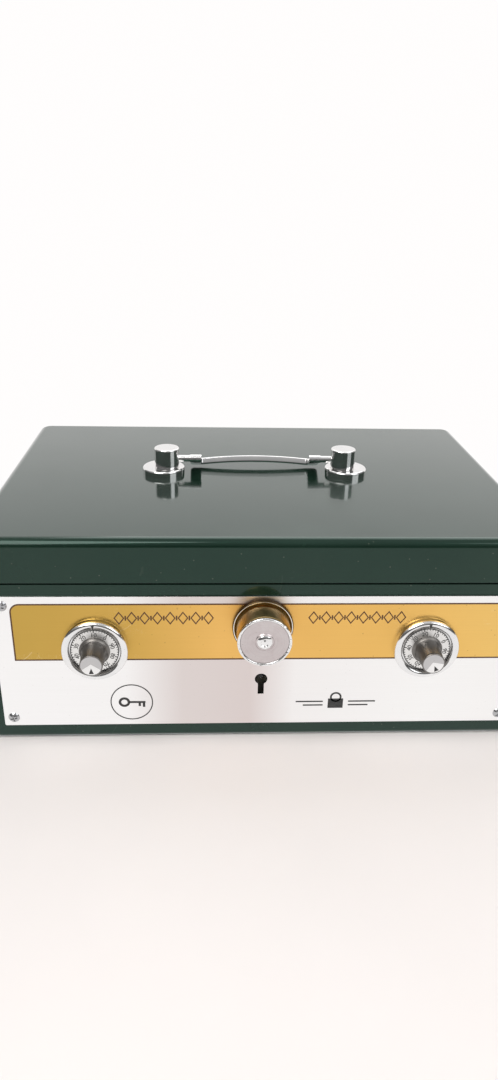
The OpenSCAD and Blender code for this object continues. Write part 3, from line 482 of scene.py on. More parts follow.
def makePiece(bm, name, body, material, place=None, stands=(), bevel=0.0, wall=0.0):
    if place is not None:
        bmesh.ops.transform(bm, matrix=place, verts=bm.verts[:])
    mesh = bpy.data.meshes.new(name)
    bm.to_mesh(mesh)
    bm.free()
    mesh.materials.append(material)
    mesh.shade_smooth()
    mesh.set_sharp_from_angle(angle=math.radians(38))
    piece = bpy.data.objects.new(name, mesh)
    bpy.context.scene.collection.objects.link(piece)
    if wall:
        shell = piece.modifiers.new("wall", "SOLIDIFY")
        shell.thickness, shell.offset, shell.use_even_offset = wall, -1, True
    if bevel:
        rounding = piece.modifiers.new("rounding", "BEVEL")
        rounding.width, rounding.segments, rounding.limit_method = bevel, 2, "ANGLE"
        rounding.angle_limit = math.radians(40)
        rounding.harden_normals = False
    weighted = piece.modifiers.new("normals", "WEIGHTED_NORMAL")
    weighted.keep_sharp = True
    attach(piece, body)
    if stands:
        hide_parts(*stands)
    return piece


def softenedCopy(node, body, material, bevel):
    # the node's own shape with its edges rounded over
    bm = bmesh.new()
    bm.from_mesh(frame["nodes"][node].data)
    bmesh.ops.remove_doubles(bm, verts=bm.verts[:], dist=2e-6)
    bmesh.ops.dissolve_limit(bm, angle_limit=math.radians(0.5), verts=bm.verts[:], edges=bm.edges[:])
    return makePiece(bm, node + ".soft", body, material, stands=[node], bevel=bevel)


# ---- box and lid ----

lidSettings = {"corner": 8 * mm, "edge": 5 * mm, "sheet": 1 * mm, "rimBevel": 0.3 * mm}


def makeLid():
    s = lidSettings
    bm = bmesh.new()
    addBlock(bm, lidLow, lidHigh)
    upright = [e for e in bm.edges if abs(e.verts[0].co.z - e.verts[1].co.z) > 1 * mm]
    roundOver(bm, upright, s["corner"], 12)
    top = [e for e in bm.edges if min(v.co.z for v in e.verts) > lidHigh.z - 0.1 * mm]
    roundOver(bm, top, s["edge"], 8)
    under = [f for f in bm.faces if f.normal.z < -0.9]
    bmesh.ops.delete(bm, geom=under, context="FACES_ONLY")
    makePiece(bm, "lidShell", "lid", greenEnamel, stands=["lid_shell"],
              wall=s["sheet"], bevel=s["rimBevel"])


makeLid()
softenedCopy("body_shell", "case", greenEnamel, 0.25 * mm)
softenedCopy("rim_frame", "case", innerEnamel, 0.3 * mm)
print("box and lid made")


# ---- faceplate and its printing ----

softenedCopy("faceplate", "case", brushedPlate, 0.2 * mm)

bandSettings = {
    "halfWidth": 130 * mm, "low": 50.9 * mm, "high": 84.9 * mm, "corner": 5 * mm,
    "line": 0.8 * mm, "foil": 0.04 * mm, "ink": 0.09 * mm,
}


def makeBand():
    s = bandSettings
    bm = bmesh.new()
    addBar(bm, (-s["halfWidth"], s["low"]), (s["halfWidth"], s["high"]))
    upper = [v for v in bm.verts if v.co.y > s["low"] + 1 * mm]
    roundOver(bm, upper, s["corner"], 10, "VERTICES")
    framed = bm.copy()
    raiseSheet(bm, s["foil"])
    makePiece(bm, "bandFoil", "case", goldFoil, place=onFront(0, 0))
    inner = bmesh.ops.inset_region(framed, faces=framed.faces[:], thickness=s["line"], use_even_offset=True,
                                   use_boundary=True)
    middle = [f for f in framed.faces if f not in inner["faces"]]
    bmesh.ops.delete(framed, geom=middle, context="FACES")
    raiseSheet(framed, s["ink"])
    makePiece(framed, "bandOutline", "case", brownInk, place=onFront(0, 0))


def raiseSheet(bm, height):
    # gives flat faces a thickness
    bmesh.ops.recalc_face_normals(bm, faces=bm.faces[:])
    lifted = bmesh.ops.extrude_face_region(bm, geom=bm.faces[:])
    moved = [v for v in lifted["geom"] if isinstance(v, bmesh.types.BMVert)]
    bmesh.ops.translate(bm, vec=(0, 0, height), verts=moved)
    bmesh.ops.recalc_face_normals(bm, faces=bm.faces[:])


def addRing(bm, centre, outer, inner, segments, squeeze=1.0):
    # flat ring, or an open lozenge when it has four segments
    loops = []
    for radius in (outer, inner):
        made = bmesh.ops.create_circle(bm, segments=segments, radius=radius)["verts"]
        bmesh.ops.scale(bm, vec=(squeeze, 1, 1), verts=made)
        bmesh.ops.translate(bm, vec=(centre[0], centre[1], 0), verts=made)
        loops += {e for v in made for e in v.link_edges}
    bmesh.ops.bridge_loops(bm, edges=loops)


def addBar(bm, low, high):
    # flat rectangle between two corners
    made = bmesh.ops.create_grid(bm, x_segments=1, y_segments=1, size=0.5)["verts"]
    bmesh.ops.scale(bm, vec=(high[0] - low[0], high[1] - low[1], 1), verts=made)
    bmesh.ops.translate(bm, vec=((high[0] + low[0]) / 2, (high[1] + low[1]) / 2, 0), verts=made)


printSettings = {
    "bandRows": [(-51.5 * mm, 8), (49.5 * mm, 8)], "lozenge": 3.9 * mm, "pitch": 6.6 * mm, "stroke": 0.8 * mm,
    "rowHeight": 76.4 * mm, "ink": 0.09 * mm, "roundel": (-70 * mm, 24 * mm), "roundelRadius": 11.5 * mm,
    "padlock": (41.5 * mm, 23 * mm),
}


def makePrinting():
    s = printSettings
    for side, (middle, count) in zip(("left", "right"), s["bandRows"]):
        bm = bmesh.new()
        for k in range(count):
            x = middle + (k - (count - 1) / 2) * s["pitch"]
            addRing(bm, (x, s["rowHeight"]), s["lozenge"], s["lozenge"] - 1.3 * s["stroke"], 4, squeeze=0.72)
            if k < count - 1:
                low = (x + s["pitch"] / 2 - s["stroke"] / 2, s["rowHeight"] - 1.4 * mm)
                addBar(bm, low, (low[0] + s["stroke"], s["rowHeight"] + 1.4 * mm))
        raiseSheet(bm, s["ink"])
        makePiece(bm, side + "BandBorder", "case", brownInk, place=onFront(0, 0))

    bm = bmesh.new()  # roundel with a plain key
    x, z = s["roundel"]
    addRing(bm, (x, z), s["roundelRadius"], s["roundelRadius"] - 0.6 * mm, 72)
    addRing(bm, (x - 4 * mm, z), 3.1 * mm, 1.7 * mm, 40)
    addBar(bm, (x - 1.2 * mm, z - 0.6 * mm), (x + 7.4 * mm, z + 0.6 * mm))
    for tooth, depth in ((3.6, 2.6), (5.9, 3.2)):
        addBar(bm, (x + tooth * mm, z - depth * mm), (x + (tooth + 1.3) * mm, z - 0.5 * mm))
    raiseSheet(bm, s["ink"])
    makePiece(bm, "keyRoundel", "case", greyInk, place=onFront(0, 0))

    bm = bmesh.new()  # plain padlock between two rules
    x, z = s["padlock"]
    addBar(bm, (x - 4.2 * mm, z - 4 * mm), (x + 4.2 * mm, z + 2.2 * mm))
    addRing(bm, (x, z + 3.2 * mm), 3.2 * mm, 2.2 * mm, 40)
    for side in (-1, 1):
        for height, length in ((1.2, 15), (-1.2, 11)):
            ends = sorted((x + side * 7 * mm, x + side * (7 + length) * mm))
            addBar(bm, (ends[0], z + (height - 1.2) * mm), (ends[1], z + (height - 0.4) * mm))
    raiseSheet(bm, s["ink"])
    makePiece(bm, "padlockMark", "case", greyInk, place=onFront(0, 0))


makeBand()
makePrinting()

screwSettings = {
    "radius": 3.1 * mm, "height": 1.6 * mm, "shank": 1.5 * mm,
    "slot": 0.75 * mm, "slotDepth": 1.0 * mm, "slotShare": 0.62,
}


def makeFaceplateScrews():
    s = screwSettings
    low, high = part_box("faceplate_screws")
    deep = high.y - plateFront
    domeRadius = (s["radius"] ** 2 + s["height"] ** 2) / (2 * s["height"])
    half = math.degrees(math.asin(s["radius"] / domeRadius))
    dome = arcPoints((0, s["height"] - domeRadius), domeRadius, 90 - half, 90, 10)
    reach = s["radius"] * s["slotShare"]
    everyHead = bmesh.new()
    turns = iter((12, 71, 38, 84))
    for x in (low.x + s["radius"], high.x - s["radius"]):
        for z in (low.z + s["radius"], high.z - s["radius"]):
            bm = turnedShape([(0, -deep), (s["shank"], -deep), (s["shank"], 0)] + dome, steps=48)
            for wide, tall in ((reach, s["slot"] / 2), (s["slot"] / 2, reach)):
                cutter = bmesh.new()
                addBlock(cutter, (-wide, -tall, s["height"] - s["slotDepth"]), (wide, tall, 2 * mm))
                bm = carve(bm, cutter)
            bmesh.ops.transform(bm, matrix=onFront(x, z, next(turns)), verts=bm.verts[:])
            joinInto(everyHead, bm)
    makePiece(everyHead, "plateScrews", "case", springSteel, stands=["faceplate_screws"])


makeFaceplateScrews()
print("faceplate made")


# ---- dials ----

dialSettings = {
    "rimOuter": 17.5 * mm, "rimInner": 13.3 * mm, "rimHeight": 4.5 * mm, "sleeve": 4 * mm, "bore": 2.55 * mm,
    "sleeveDeep": 5.5 * mm, "floor": 1 * mm, "discRadius": 12.7 * mm, "discLow": 1.3 * mm, "discHigh": 3 * mm,
    "discHole": 2.5 * mm,
    "knobFoot": 7.2 * mm, "knobTip": 5.9 * mm, "knobReach": 17 * mm, "figureSize": 3.4 * mm,
    "divisions": 50, "figures": 10, "figureRadius": 9.5 * mm, "tickOuter": 12.35 * mm,
    "longTick": (11.0 * mm, 0.22 * mm), "shortTick": (11.6 * mm, 0.12 * mm),
    "turn": {"left": 0, "right": -24}, "pointerTurn": {"left": 180, "right": 205}, "field": 110,
}


def addWedge(bm, radius, depth, stretch, place):
    # flat triangle with its narrow end to the middle
    made = bmesh.ops.create_cone(bm, cap_ends=True, segments=3, radius1=radius, radius2=radius,
                                 depth=depth)["verts"]
    bmesh.ops.rotate(bm, cent=(0, 0, 0), matrix=Matrix.Rotation(math.radians(180), 3, "Z"), verts=made)
    bmesh.ops.scale(bm, vec=(*stretch, 1), verts=made)
    bmesh.ops.translate(bm, vec=place, verts=made)


def makeDialBezel(side):
    s = dialSettings
    x, z = dialAxes[side].x, dialAxes[side].z
    crown = (s["rimOuter"] - s["rimInner"]) / 2
    middle = (s["rimOuter"] + s["rimInner"]) / 2
    crownCentre = (middle, s["rimHeight"] - crown)
    profile = [(s["bore"], -s["sleeveDeep"]), (s["sleeve"], -s["sleeveDeep"]), (s["sleeve"], 0),
               (s["rimOuter"] - 0.2 * mm, 0), (s["rimOuter"], 0.3 * mm), (s["rimOuter"], crownCentre[1])]
    profile += arcPoints(crownCentre, crown, 0, 180, 17)[1:]
    profile += [(s["rimInner"], s["floor"]), (s["bore"], s["floor"])]
    bm = turnedShape(profile, steps=128)
    makePiece(bm, side + "Bezel", "case", chrome, place=onFront(x, z), stands=[side + "_dial_bezel"])
    bm = bmesh.new()  # index on the crown
    addWedge(bm, 1.25 * mm, 0.25 * mm, (0.8, 1.25), (0, middle, s["rimHeight"]))
    makePiece(bm, side + "Index", "case", greyInk, place=onFront(x, z))


def addFigure(bm, words, size, thick, place):
    # a printed figure, lying in the plane of its place
    curve = bpy.data.curves.new("figure", "FONT")
    curve.body, curve.size, curve.extrude = words, size, thick
    curve.align_x, curve.align_y = "CENTER", "CENTER"
    curve.resolution_u = 3
    holder = bpy.data.objects.new("figure", curve)
    bpy.context.scene.collection.objects.link(holder)
    bpy.context.view_layer.update()
    mesh = bpy.data.meshes.new_from_object(holder)
    mesh.transform(place)
    bm.from_mesh(mesh)
    bpy.data.objects.remove(holder)
    bpy.data.curves.remove(curve)
    bpy.data.meshes.remove(mesh)


def makeDialDisc(side, material):
    s = dialSettings
    place = onFront(dialAxes[side].x, dialAxes[side].z, s["turn"][side])
    low, high, radius, hole = s["discLow"], s["discHigh"], s["discRadius"], s["discHole"]
    profile = [(hole, low), (radius, low), (radius, high - 0.6 * mm), (radius - 0.5 * mm, high - 0.25 * mm),
               (8.2 * mm, high), (hole, high)]
    bm = turnedShape(profile, steps=96)
    makePiece(bm, side + "Disc", side + "_dial", material, place=place, stands=[side + "_dial_disc"])
    bm = bmesh.new()
    for k in range(s["divisions"]):
        inner, width = s["shortTick"] if k % 5 else s["longTick"]
        made = addBlock(bm, (-width, inner, s["discHigh"] - 0.4 * mm),
                        (width, s["tickOuter"], s["discHigh"] - 0.08 * mm))
        spoke = Matrix.Rotation(math.radians(k * 360 / s["divisions"]), 3, "Z")
        bmesh.ops.rotate(bm, cent=(0, 0, 0), matrix=spoke, verts=made)
    for k in range(s["figures"]):
        spoke = Matrix.Rotation(math.radians(k * 360 / s["figures"]), 4, "Z")
        addFigure(bm, str(((k + 1) % s["figures"]) * 10), s["figureSize"], 0.06 * mm,
                  spoke @ Matrix.Translation((0, s["figureRadius"], s["discHigh"] - 0.04 * mm)))
    edge = bmesh.new()  # painted shadow: a dark ring round the edge, for the shade in the gap to the bezel
    addRing(edge, (0, 0), s["discRadius"] - 0.02 * mm, s["discRadius"] - 0.5 * mm, 96)
    raiseSheet(edge, 0.06 * mm)
    bmesh.ops.translate(edge, vec=(0, 0, s["discHigh"] - 0.3 * mm), verts=edge.verts[:])
    joinInto(bm, edge)
    makePiece(bm, side + "DialFigures", side + "_dial", greyInk, place=place)


def makeDialKnob(side, faceMetal):
    s = dialSettings
    reach, foot, tip = s["knobReach"], s["knobFoot"], s["knobTip"]
    place = onFront(dialAxes[side].x, dialAxes[side].z, s["pointerTurn"][side])
    low = s["discHigh"]
    profile = [(0, low), (foot + 0.9 * mm, low),
               (foot + 0.9 * mm, low + 0.5 * mm), (foot + 0.2 * mm, low + 0.9 * mm),
               (foot - 0.3 * mm, low + 1.6 * mm), (foot - 0.1 * mm, low + 2.4 * mm),
               (foot - 0.6 * mm, low + 3.2 * mm), (tip - 0.1 * mm, reach - 1.8 * mm),
               (tip + 0.05 * mm, reach - 1.4 * mm), (tip + 0.05 * mm, reach - 0.25 * mm),
               (tip - 0.15 * mm, reach),
               (tip - 0.4 * mm, reach), (tip - 0.5 * mm, reach - 0.2 * mm), (0, reach - 0.2 * mm)]
    bm = turnedShape(profile, steps=96)
    # the knob body's dark dull chrome, foot flange included, is painted shade for its shadowed base
    makePiece(bm, side + "DialKnob", side + "_dial", shadedKnobChrome, place=place,
              stands=[side + "_dial_knob"])
    bm = turnedShape([(0, reach - 0.2 * mm), (tip - 0.5 * mm, reach - 0.2 * mm),
                      (tip - 0.5 * mm, reach - 0.1 * mm), (0, reach - 0.1 * mm)], steps=64)
    makePiece(bm, side + "DialKnobFace", side + "_dial", faceMetal, place=place)
    bm = bmesh.new()  # painted highlight: a pale metal sector round the pointer
    bmesh.ops.create_circle(bm, cap_ends=True, segments=64, radius=tip - 0.55 * mm)
    for turn in (s["field"] / 2, -s["field"] / 2):
        angle = math.radians(turn)
        across = Vector((math.cos(angle), -math.sin(angle), 0)) * math.copysign(1, turn)
        bmesh.ops.bisect_plane(bm, geom=bm.verts[:] + bm.edges[:] + bm.faces[:], plane_co=(0, -1 * mm, 0),
                               plane_no=across, clear_outer=True)
    raiseSheet(bm, 0.04 * mm)
    bmesh.ops.translate(bm, vec=(0, 0, reach - 0.1 * mm), verts=bm.verts[:])
    makePiece(bm, side + "PointerHighlight", side + "_dial", paintedHighlightMetal, place=place)
    bm = bmesh.new()
    addWedge(bm, 1.7 * mm, 0.12 * mm, (0.85, 1.3), (0, tip - 2.3 * mm, reach - 0.08 * mm))
    makePiece(bm, side + "DialPointer", side + "_dial", greyInk, place=place)


for side in ("left", "right"):
    axis = dialAxes[side]
    discMetal = makeTurned(side + "DiscMetal", axis, (0.80, 0.79, 0.77), (0.90, 0.89, 0.87), (0.30, 0.42))
    tipMetal = makeTurned(side + "TipMetal", axis, (0.50, 0.49, 0.49), (0.62, 0.61, 0.61), (0.28, 0.40),
                          rings=4200.0)
    makeDialBezel(side)
    makeDialDisc(side, discMetal)
    makeDialKnob(side, tipMetal)
print("dials made")


# ---- turn knob ----

knobSettings = {
    "radius": 14 * mm, "reach": 17 * mm, "low": 3 * mm, "hub": 10 * mm, "hubLow": 1.25 * mm, "rim": 1.6 * mm,
    "recess": 1 * mm, "boss": 4 * mm,
    "plateRadius": 16 * mm, "plateHeight": 2.5 * mm,
    "sleeve": 6 * mm, "sleeveDeep": 5.5 * mm, "bore": 4.05 * mm,
}


def makeEscutcheon():
    s = knobSettings
    outer, height = s["plateRadius"], s["plateHeight"]
    profile = [(s["bore"], -s["sleeveDeep"]), (s["sleeve"], -s["sleeveDeep"]), (s["sleeve"], 0),
               (outer - 0.2 * mm, 0), (outer, 0.25 * mm), (outer, height - 0.9 * mm)]
    profile += arcPoints((outer - 0.7 * mm, height - 0.7 * mm), 0.7 * mm, 0, 180, 11)
    profile += arcPoints((outer - 6.4 * mm, height + 3.3 * mm), 6.6 * mm, -40, -88, 10)
    profile += [(10.3 * mm, 1 * mm), (s["bore"], 1 * mm)]
    profile = [(radius, max(level, 1 * mm) if radius < outer - 1.5 * mm and level > 0 else level)
               for radius, level in profile]
    bm = turnedShape(profile, steps=128)
    piece = makePiece(bm, "escutcheon", "case", bronzeChrome, place=onFront(knobAxis.x, knobAxis.z),
                      stands=["knob_escutcheon"])
    piece.data.materials.append(paintedShadowBronze)
    piece.data.materials.append(chrome)
    for face in piece.data.polygons:  # painted shadow in dark bronze on the outer edge, then a painted highlight line in chrome
        radius = math.hypot(face.center.x - knobAxis.x, face.center.z - knobAxis.z)
        face.material_index = 1 if radius > outer - 0.55 * mm else 2 if radius > outer - 1.0 * mm else 0


def makeTurnKnob():
    s = knobSettings
    radius, reach, place = s["radius"], s["reach"], onFront(knobAxis.x, knobAxis.z)
    floor = reach - s["recess"]
    profile = [(0, s["hubLow"]), (s["hub"], s["hubLow"]), (s["hub"], s["low"]), (radius - 0.8 * mm, s["low"]),
               (radius - 0.2 * mm, s["low"] + 0.6 * mm), (radius - 0.2 * mm, s["low"] + 1.4 * mm),
               (radius, s["low"] + 1.9 * mm), (radius, reach - 2.6 * mm),
               (radius - 0.25 * mm, reach - 2.2 * mm)]
    profile += arcPoints((radius - 0.8 * mm, reach - 0.8 * mm), 0.8 * mm, 0, 180, 13)
    profile += [(radius - s["rim"] - 0.1 * mm, floor), (0, floor)]
    bm = turnedShape(profile, steps=256)
    for corner in bm.verts:
        if corner.co.z > reach - 0.7 * mm and corner.co.xy.length > radius - s["rim"]:
            nick = noise.noise(corner.co * 900) + 0.5 * noise.noise(corner.co * 2300)
            corner.co.z -= max(0.0, nick - 0.22) * 0.7 * mm  # knocks on the rim
    piece = makePiece(bm, "turnKnob", "center_knob", satinChrome, place=place,
                      stands=["turn_knob"])
    piece.data.materials.append(chrome)
    for face in piece.data.polygons:  # the rim is polished by hands
        if plateFront - face.center.y > reach - 1.3 * mm:
            face.material_index = 1

    faceRadius = radius - s["rim"] - 0.1 * mm
    face = [(0, floor), (faceRadius, floor), (faceRadius, floor + 0.35 * mm),
            (faceRadius - 0.5 * mm, floor + 0.2 * mm)]
    face += [(s["boss"] + 1.5 * mm, floor + 0.12 * mm), (s["boss"] + 1 * mm, floor + 0.04 * mm),
             (s["boss"] + 0.5 * mm, floor + 0.5 * mm), (0, floor + 0.5 * mm)]
    bm = turnedShape(face, steps=128)
    makePiece(bm, "turnKnobFace", "center_knob", knobFaceMetal, place=place)

    boss = s["boss"]
    profile = [(0, floor), (boss, floor), (boss, floor + 0.4 * mm), (boss - 0.3 * mm, floor + 0.8 * mm),
               (boss - 1.1 * mm, floor + 1.25 * mm), (boss - 1.8 * mm, floor + 1.3 * mm),
               (boss - 2.3 * mm, floor + 0.95 * mm), (boss - 3.2 * mm, floor + 1.25 * mm),
               (0, floor + 1.45 * mm)]
    bm = turnedShape(profile, steps=48)
    for corner in bm.verts:  # hammered over, so not quite even
        corner.co += Vector(noise.noise_vector(corner.co * 700)) * 0.12 * mm
    makePiece(bm, "knobBoss", "center_knob", chrome, stands=["knob_boss"],
              place=onFront(knobAxis.x, knobAxis.z, 24))


makeEscutcheon()
makeTurnKnob()
print("turn knob made")


# ---- handle ----

handleSettings = {
    "postX": 54 * mm, "postRadius": 7.5 * mm, "postEdge": 0.7 * mm,
    "discShift": 2 * mm, "discRadius": 12.75 * mm, "discEdge": 1.1 * mm, "rod": 2 * mm,
    "legIn": 33 * mm, "legOut": 40 * mm, "gripIn": 10.25 * mm, "gripOut": 13.75 * mm, "gripHigh": 4 * mm,
    "corner": 2.5 * mm, "edge": 0.9 * mm, "bow": 1.8 * mm, "fold": 27, "rodEnd": 52 * mm, "bore": 2.05 * mm,
}


def makePosts():
    s = handleSettings
    foot, top = discHigh.z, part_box("handle_posts")[1].z
    r, edge, tall = s["postRadius"], s["postEdge"], top - foot
    both = bmesh.new()
    for side in (-1, 1):
        profile = [(0, 0), (r - 0.5 * mm, 0), (r - 0.5 * mm, 0.5 * mm), (r, 0.7 * mm), (r, tall - edge)]
        profile += arcPoints((r - edge, tall - edge), edge, 0, 90, 7)[1:]
        profile += [(0, tall)]
        bm = turnedShape(profile, steps=96)
        bmesh.ops.translate(bm, vec=(side * s["postX"], handlePivot.y, foot), verts=bm.verts[:])
        cutter = bmesh.new()
        ends = sorted((side * (s["postX"] + 1 * mm), side * (s["postX"] - 15 * mm)))
        addRod(cutter, s["bore"], *((x, handlePivot.y, handlePivot.z) for x in ends))
        bm = carve(bm, cutter)
        joinInto(both, bm)
    makePiece(both, "handlePosts", "lid", chrome, stands=["handle_posts"])


def makeDiscs():
    s = handleSettings
    low, high = discLow.z, discHigh.z
    both = bmesh.new()
    for side in (-1, 1):
        r, edge = s["discRadius"], s["discEdge"]
        profile = [(0, low), (r, low), (r, high - edge)]
        profile += arcPoints((r - edge, high - edge), edge, 0, 90, 8)[1:]
        profile += [(0, high)]
        bm = turnedShape(profile, steps=112)
        bmesh.ops.translate(bm, vec=(side * (s["postX"] + s["discShift"]), handlePivot.y, 0), verts=bm.verts[:])
        joinInto(both, bm)
    makePiece(both, "handleDiscs", "lid", chrome, stands=["handle_discs"])


def makeBail():
    s = handleSettings
    bm = bmesh.new()
    addBar(bm, (-s["legOut"], 0), (s["legOut"], s["gripOut"]))
    bmesh.ops.translate(bm, vec=(0, 0, -s["gripHigh"] / 2), verts=bm.verts[:])

    def slice(point, normal):
        bmesh.ops.bisect_plane(bm, geom=bm.verts[:] + bm.edges[:] + bm.faces[:],
                               plane_co=point, plane_no=normal)

    slice((s["legIn"], 0, 0), (1, 0, 0))
    slice((-s["legIn"], 0, 0), (1, 0, 0))
    slice((0, s["gripIn"], 0), (0, 1, 0))
    gap = [f for f in bm.faces if abs(f.calc_center_median().x) < s["legIn"]
           and f.calc_center_median().y < s["gripIn"]]
    bmesh.ops.delete(bm, geom=gap, context="FACES")
    corners = [v for v in bm.verts if v.co.y > s["gripOut"] - 1e-6 and abs(v.co.x) > s["legOut"] - 1e-6]
    roundOver(bm, corners, s["corner"], 8, "VERTICES")
    raiseSheet(bm, s["gripHigh"])
    softenEdges(bm, s["edge"], 4, 50)
    steps = 24
    for k in range(1, steps):
        slice(((2 * k / steps - 1) * s["legIn"], 0, 0), (1, 0, 0))
    for corner in bm.verts:
        share = abs(corner.co.x) / s["legIn"]
        if share < 1 and corner.co.y > s["gripIn"] - 1 * mm:
            corner.co.z += s["bow"] * (1 - share * share)
    bmesh.ops.dissolve_degenerate(bm, edges=bm.edges[:], dist=1e-6)
    for side in (-1, 1):
        inner, outer = side * s["legIn"], side * s["legOut"]
        addRod(bm, s["rod"] + 0.3 * mm, (inner, 0, 0), (outer, 0, 0))
        addRod(bm, s["rod"], (inner + side * 1 * mm, 0, 0), (side * s["rodEnd"], 0, 0))
    bmesh.ops.recalc_face_normals(bm, faces=bm.faces[:])
    place = Matrix.Translation(handlePivot) @ Matrix.Rotation(math.radians(-s["fold"]), 4, "X")
    makePiece(bm, "handleBail", "handle", chrome, place=place, stands=["handle_bail"])


makePosts()
makeDiscs()
makeBail()
print("handle made")


# ---- inside, back and lock ----

softNodes = {
    "tray_pan": ("tray", "beige_enamel", beigeEnamel, 0.35),
    "tray_divider": ("tray", "beige_enamel", beigeEnamel, 0.25),
    "left_bill_clamp": ("left_clamp", "brown_enamel", brownEnamel, 0.25),
    "right_bill_clamp": ("right_clamp", "brown_enamel", brownEnamel, 0.25),
    "clamp_brackets": ("tray", "zinc_plate", zincPlate, 0.2),
    "document_pocket": ("lid", "green_enamel", innerEnamel, 0.3),
    "hinge_body_leaves": ("case", "zinc_plate", zincPlate, 0.2),
    "hinge_lid_leaves": ("lid", "zinc_plate", zincPlate, 0.2),
    "strikers": ("lid", "zinc_plate", zincPlate, 0.2),
    "lock_case": ("case", "zinc_plate", zincPlate, 0.2),
}
for node, (body, slot, material, bevel) in softNodes.items():
    softenedCopy(node, body, material, bevel * mm)

steelNodes = {"hinge_pins", "clamp_pins", "lever_spring", "left_wheel_nut", "right_wheel_nut"}
# the lock parts are made near-black as painted shade inside the keyhole
darkNodes = {"key_post", "lock_bolt", "lock_lever"}
for node, thing in frame["nodes"].items():
    if not thing.hide_render:
        finish = springSteel if node in steelNodes else keyholeShadeBlack if node in darkNodes else zincPlate
        for holder in thing.material_slots:
            holder.material = finish
print("inside, back and lock finished")


# ---- floor, light and camera ----

floorSettings = {
    "colour": (0.93, 0.885, 0.865), "glossy": (1.0, 0.985, 0.98),
    "half": 3.0, "back": 1.3, "curve": 0.6, "wall": 3,
}


def makeFloor():
    s = floorSettings
    bm = bmesh.new()
    bmesh.ops.create_grid(bm, x_segments=1, y_segments=1, size=s["half"])
    far = [v for v in bm.verts if v.co.y > 0]
    for v in far:
        v.co.y = s["back"]
    edge = [e for e in bm.edges if all(v in far for v in e.verts)]
    bmesh.ops.spin(bm, geom=edge + far, cent=(0, s["back"], s["curve"]), axis=(1, 0, 0), angle=math.radians(90),
                   steps=16)
    top = [v for v in bm.verts if v.co.z > s["curve"] - 1e-4]
    topEdges = [e for e in bm.edges if all(v in top for v in e.verts)]
    raised = bmesh.ops.extrude_edge_only(bm, edges=topEdges)
    moved = [v for v in raised["geom"] if isinstance(v, bmesh.types.BMVert)]
    bmesh.ops.translate(bm, vec=(0, 0, s["wall"]), verts=moved)
    bmesh.ops.recalc_face_normals(bm, faces=bm.faces[:])
    mesh = bpy.data.meshes.new("floor")
    bm.to_mesh(mesh)
    bm.free()
    mesh.shade_smooth()
    floor = bpy.data.objects.new("floor", mesh)
    bpy.context.scene.collection.objects.link(floor)
    finish = Finish("floorPaper", Roughness=0.7)
    tone = finish.clouds(s["colour"], tuple(0.97 * c for c in s["colour"]), 5.0)
    finish.feed(tone, "Base Color")
    tree = finish.tree
    split = tree.nodes.new("ShaderNodeSeparateXYZ")
    tree.links.new(finish.coordinates, split.inputs["Vector"])
    distance = putNode(tree, "ShaderNodeVectorMath", {"operation": "LENGTH"})
    tree.links.new(finish.coordinates, distance.inputs[0])
    away = putMath(tree, "MAXIMUM", putRamp(tree, split.outputs["Y"], [(0.06, 0), (0.3, 1)]),
                   putRamp(tree, distance.outputs["Value"], [(0.4, 0), (0.9, 1)]))
    path = tree.nodes.new("ShaderNodeLightPath")
    whiteSeen = putMath(tree, "MULTIPLY", away, path.outputs["Is Camera Ray"])
    mirrored = putMath(tree, "ADD", putMath(tree, "MULTIPLY", away, 0.03), 0.97)
    whiteMirrored = putMath(tree, "MULTIPLY", path.outputs["Is Glossy Ray"], mirrored)
    shine = putMath(tree, "MAXIMUM", whiteSeen, whiteMirrored)
    glow = putNode(tree, "ShaderNodeEmission", Strength=1.0)
    glow.inputs["Color"].default_value = (*s["glossy"], 1)
    mix = tree.nodes.new("ShaderNodeMixShader")
    output = tree.nodes["Material Output"]
    tree.links.new(shine, mix.inputs["Fac"])
    tree.links.new(finish.shader.outputs["BSDF"], mix.inputs[1])
    tree.links.new(glow.outputs["Emission"], mix.inputs[2])
    tree.links.new(mix.outputs["Shader"], output.inputs["Surface"])
    mesh.materials.append(finish.material)


lampAim = Vector((0, 0, 0.06))
lampSettings = {
    "key": {"place": (-0.7, -0.9, 1.5), "size": 1.1, "power": 16, "colour": (1.0, 0.985, 0.97)},
    "fill": {"place": (1.1, -0.8, 1.0), "size": 1.0, "power": 6, "colour": (0.97, 0.98, 1.0)},
    "back": {"place": (0.2, 0.9, 1.3), "size": 1.2, "power": 7, "colour": (1.0, 1.0, 1.0)},
}


def makeLamps():
    for name, s in lampSettings.items():
        lamp = bpy.data.lights.new(name, "AREA")
        lamp.shape, lamp.size = "SQUARE", s["size"]
        lamp.energy, lamp.color = s["power"], s["colour"]
        holder = bpy.data.objects.new(name, lamp)
        holder.location = s["place"]
        aim = lampAim - Vector(s["place"])
        holder.rotation_euler = aim.to_track_quat("-Z", "Y").to_euler()
        bpy.context.scene.collection.objects.link(holder)


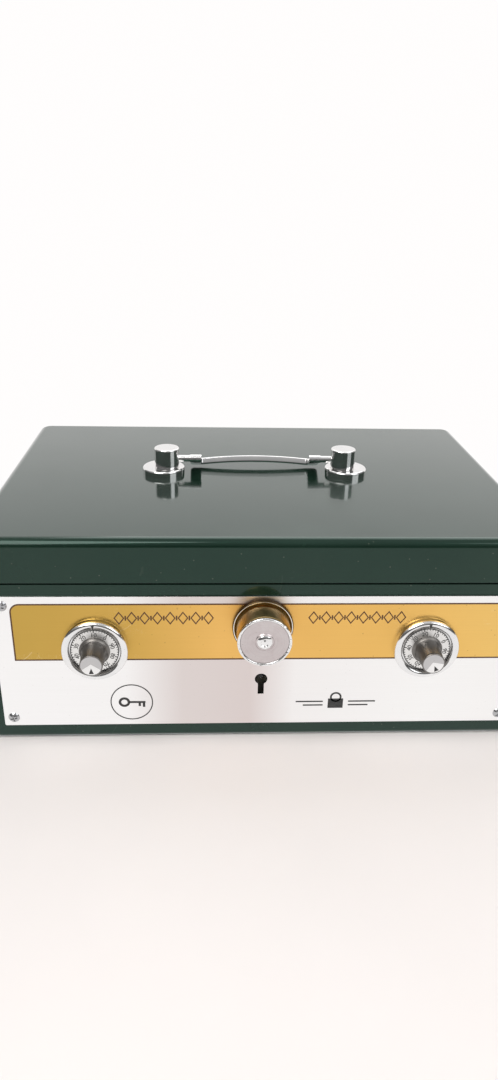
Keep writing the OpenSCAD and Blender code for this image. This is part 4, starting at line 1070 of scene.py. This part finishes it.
def makeWorld():
    world = bpy.data.worlds.new("studio")
    bpy.context.scene.world = world
    world.use_nodes = True
    tree = world.node_tree
    back = tree.nodes["Background"]
    coordinates = tree.nodes.new("ShaderNodeTexCoord").outputs["Generated"]
    split = tree.nodes.new("ShaderNodeSeparateXYZ")
    tree.links.new(coordinates, split.inputs["Vector"])
    heights = putRamp(tree, putMath(tree, "ADD", putMath(tree, "MULTIPLY", split.outputs["Z"], 0.5), 0.5), [
        (0.0, 0.45), (0.49, (0.40, 0.38, 0.37)), (0.53, 0.10), (0.66, 0.12), (0.80, 0.40), (1.0, 0.70)])
    path = tree.nodes.new("ShaderNodeLightPath")
    mix = putNode(tree, "ShaderNodeMix", {"data_type": "RGBA"})
    sockets = {s.name: s for s in mix.inputs if s.enabled}
    tree.links.new(path.outputs["Is Camera Ray"], sockets["Factor"])
    tree.links.new(heights, sockets["A"])
    sockets["B"].default_value = (1, 1, 1, 1)
    tree.links.new(next(s for s in mix.outputs if s.enabled), back.inputs["Color"])
    back.inputs["Strength"].default_value = 1.0


cameraSettings = {
    "place": (-0.02781, -0.45746, 0.28097), "yaw": -3.147, "pitch": 24.31, "roll": 1.386, "lens": 26.10,
}


def makeCamera():
    s = cameraSettings
    yaw, pitch, roll = (math.radians(s[name]) for name in ("yaw", "pitch", "roll"))
    forward = Vector((-math.sin(yaw) * math.cos(pitch), math.cos(yaw) * math.cos(pitch), -math.sin(pitch)))
    right = Vector((math.cos(yaw), math.sin(yaw), 0))
    up = right.cross(forward)
    across = right * math.cos(roll) + up * math.sin(roll)
    upward = up * math.cos(roll) - right * math.sin(roll)
    data = bpy.data.cameras.new("camera")
    data.lens, data.sensor_width, data.clip_start = s["lens"], 36, 0.01
    camera = bpy.data.objects.new("camera", data)
    turn = Matrix((across, upward, -forward)).transposed().to_4x4()
    camera.matrix_world = Matrix.Translation(s["place"]) @ turn
    bpy.context.scene.collection.objects.link(camera)
    bpy.context.scene.camera = camera


makeFloor()
makeLamps()
makeWorld()
makeCamera()
bpy.context.scene.view_settings.view_transform = "Standard"
print("floor, light and camera ready")
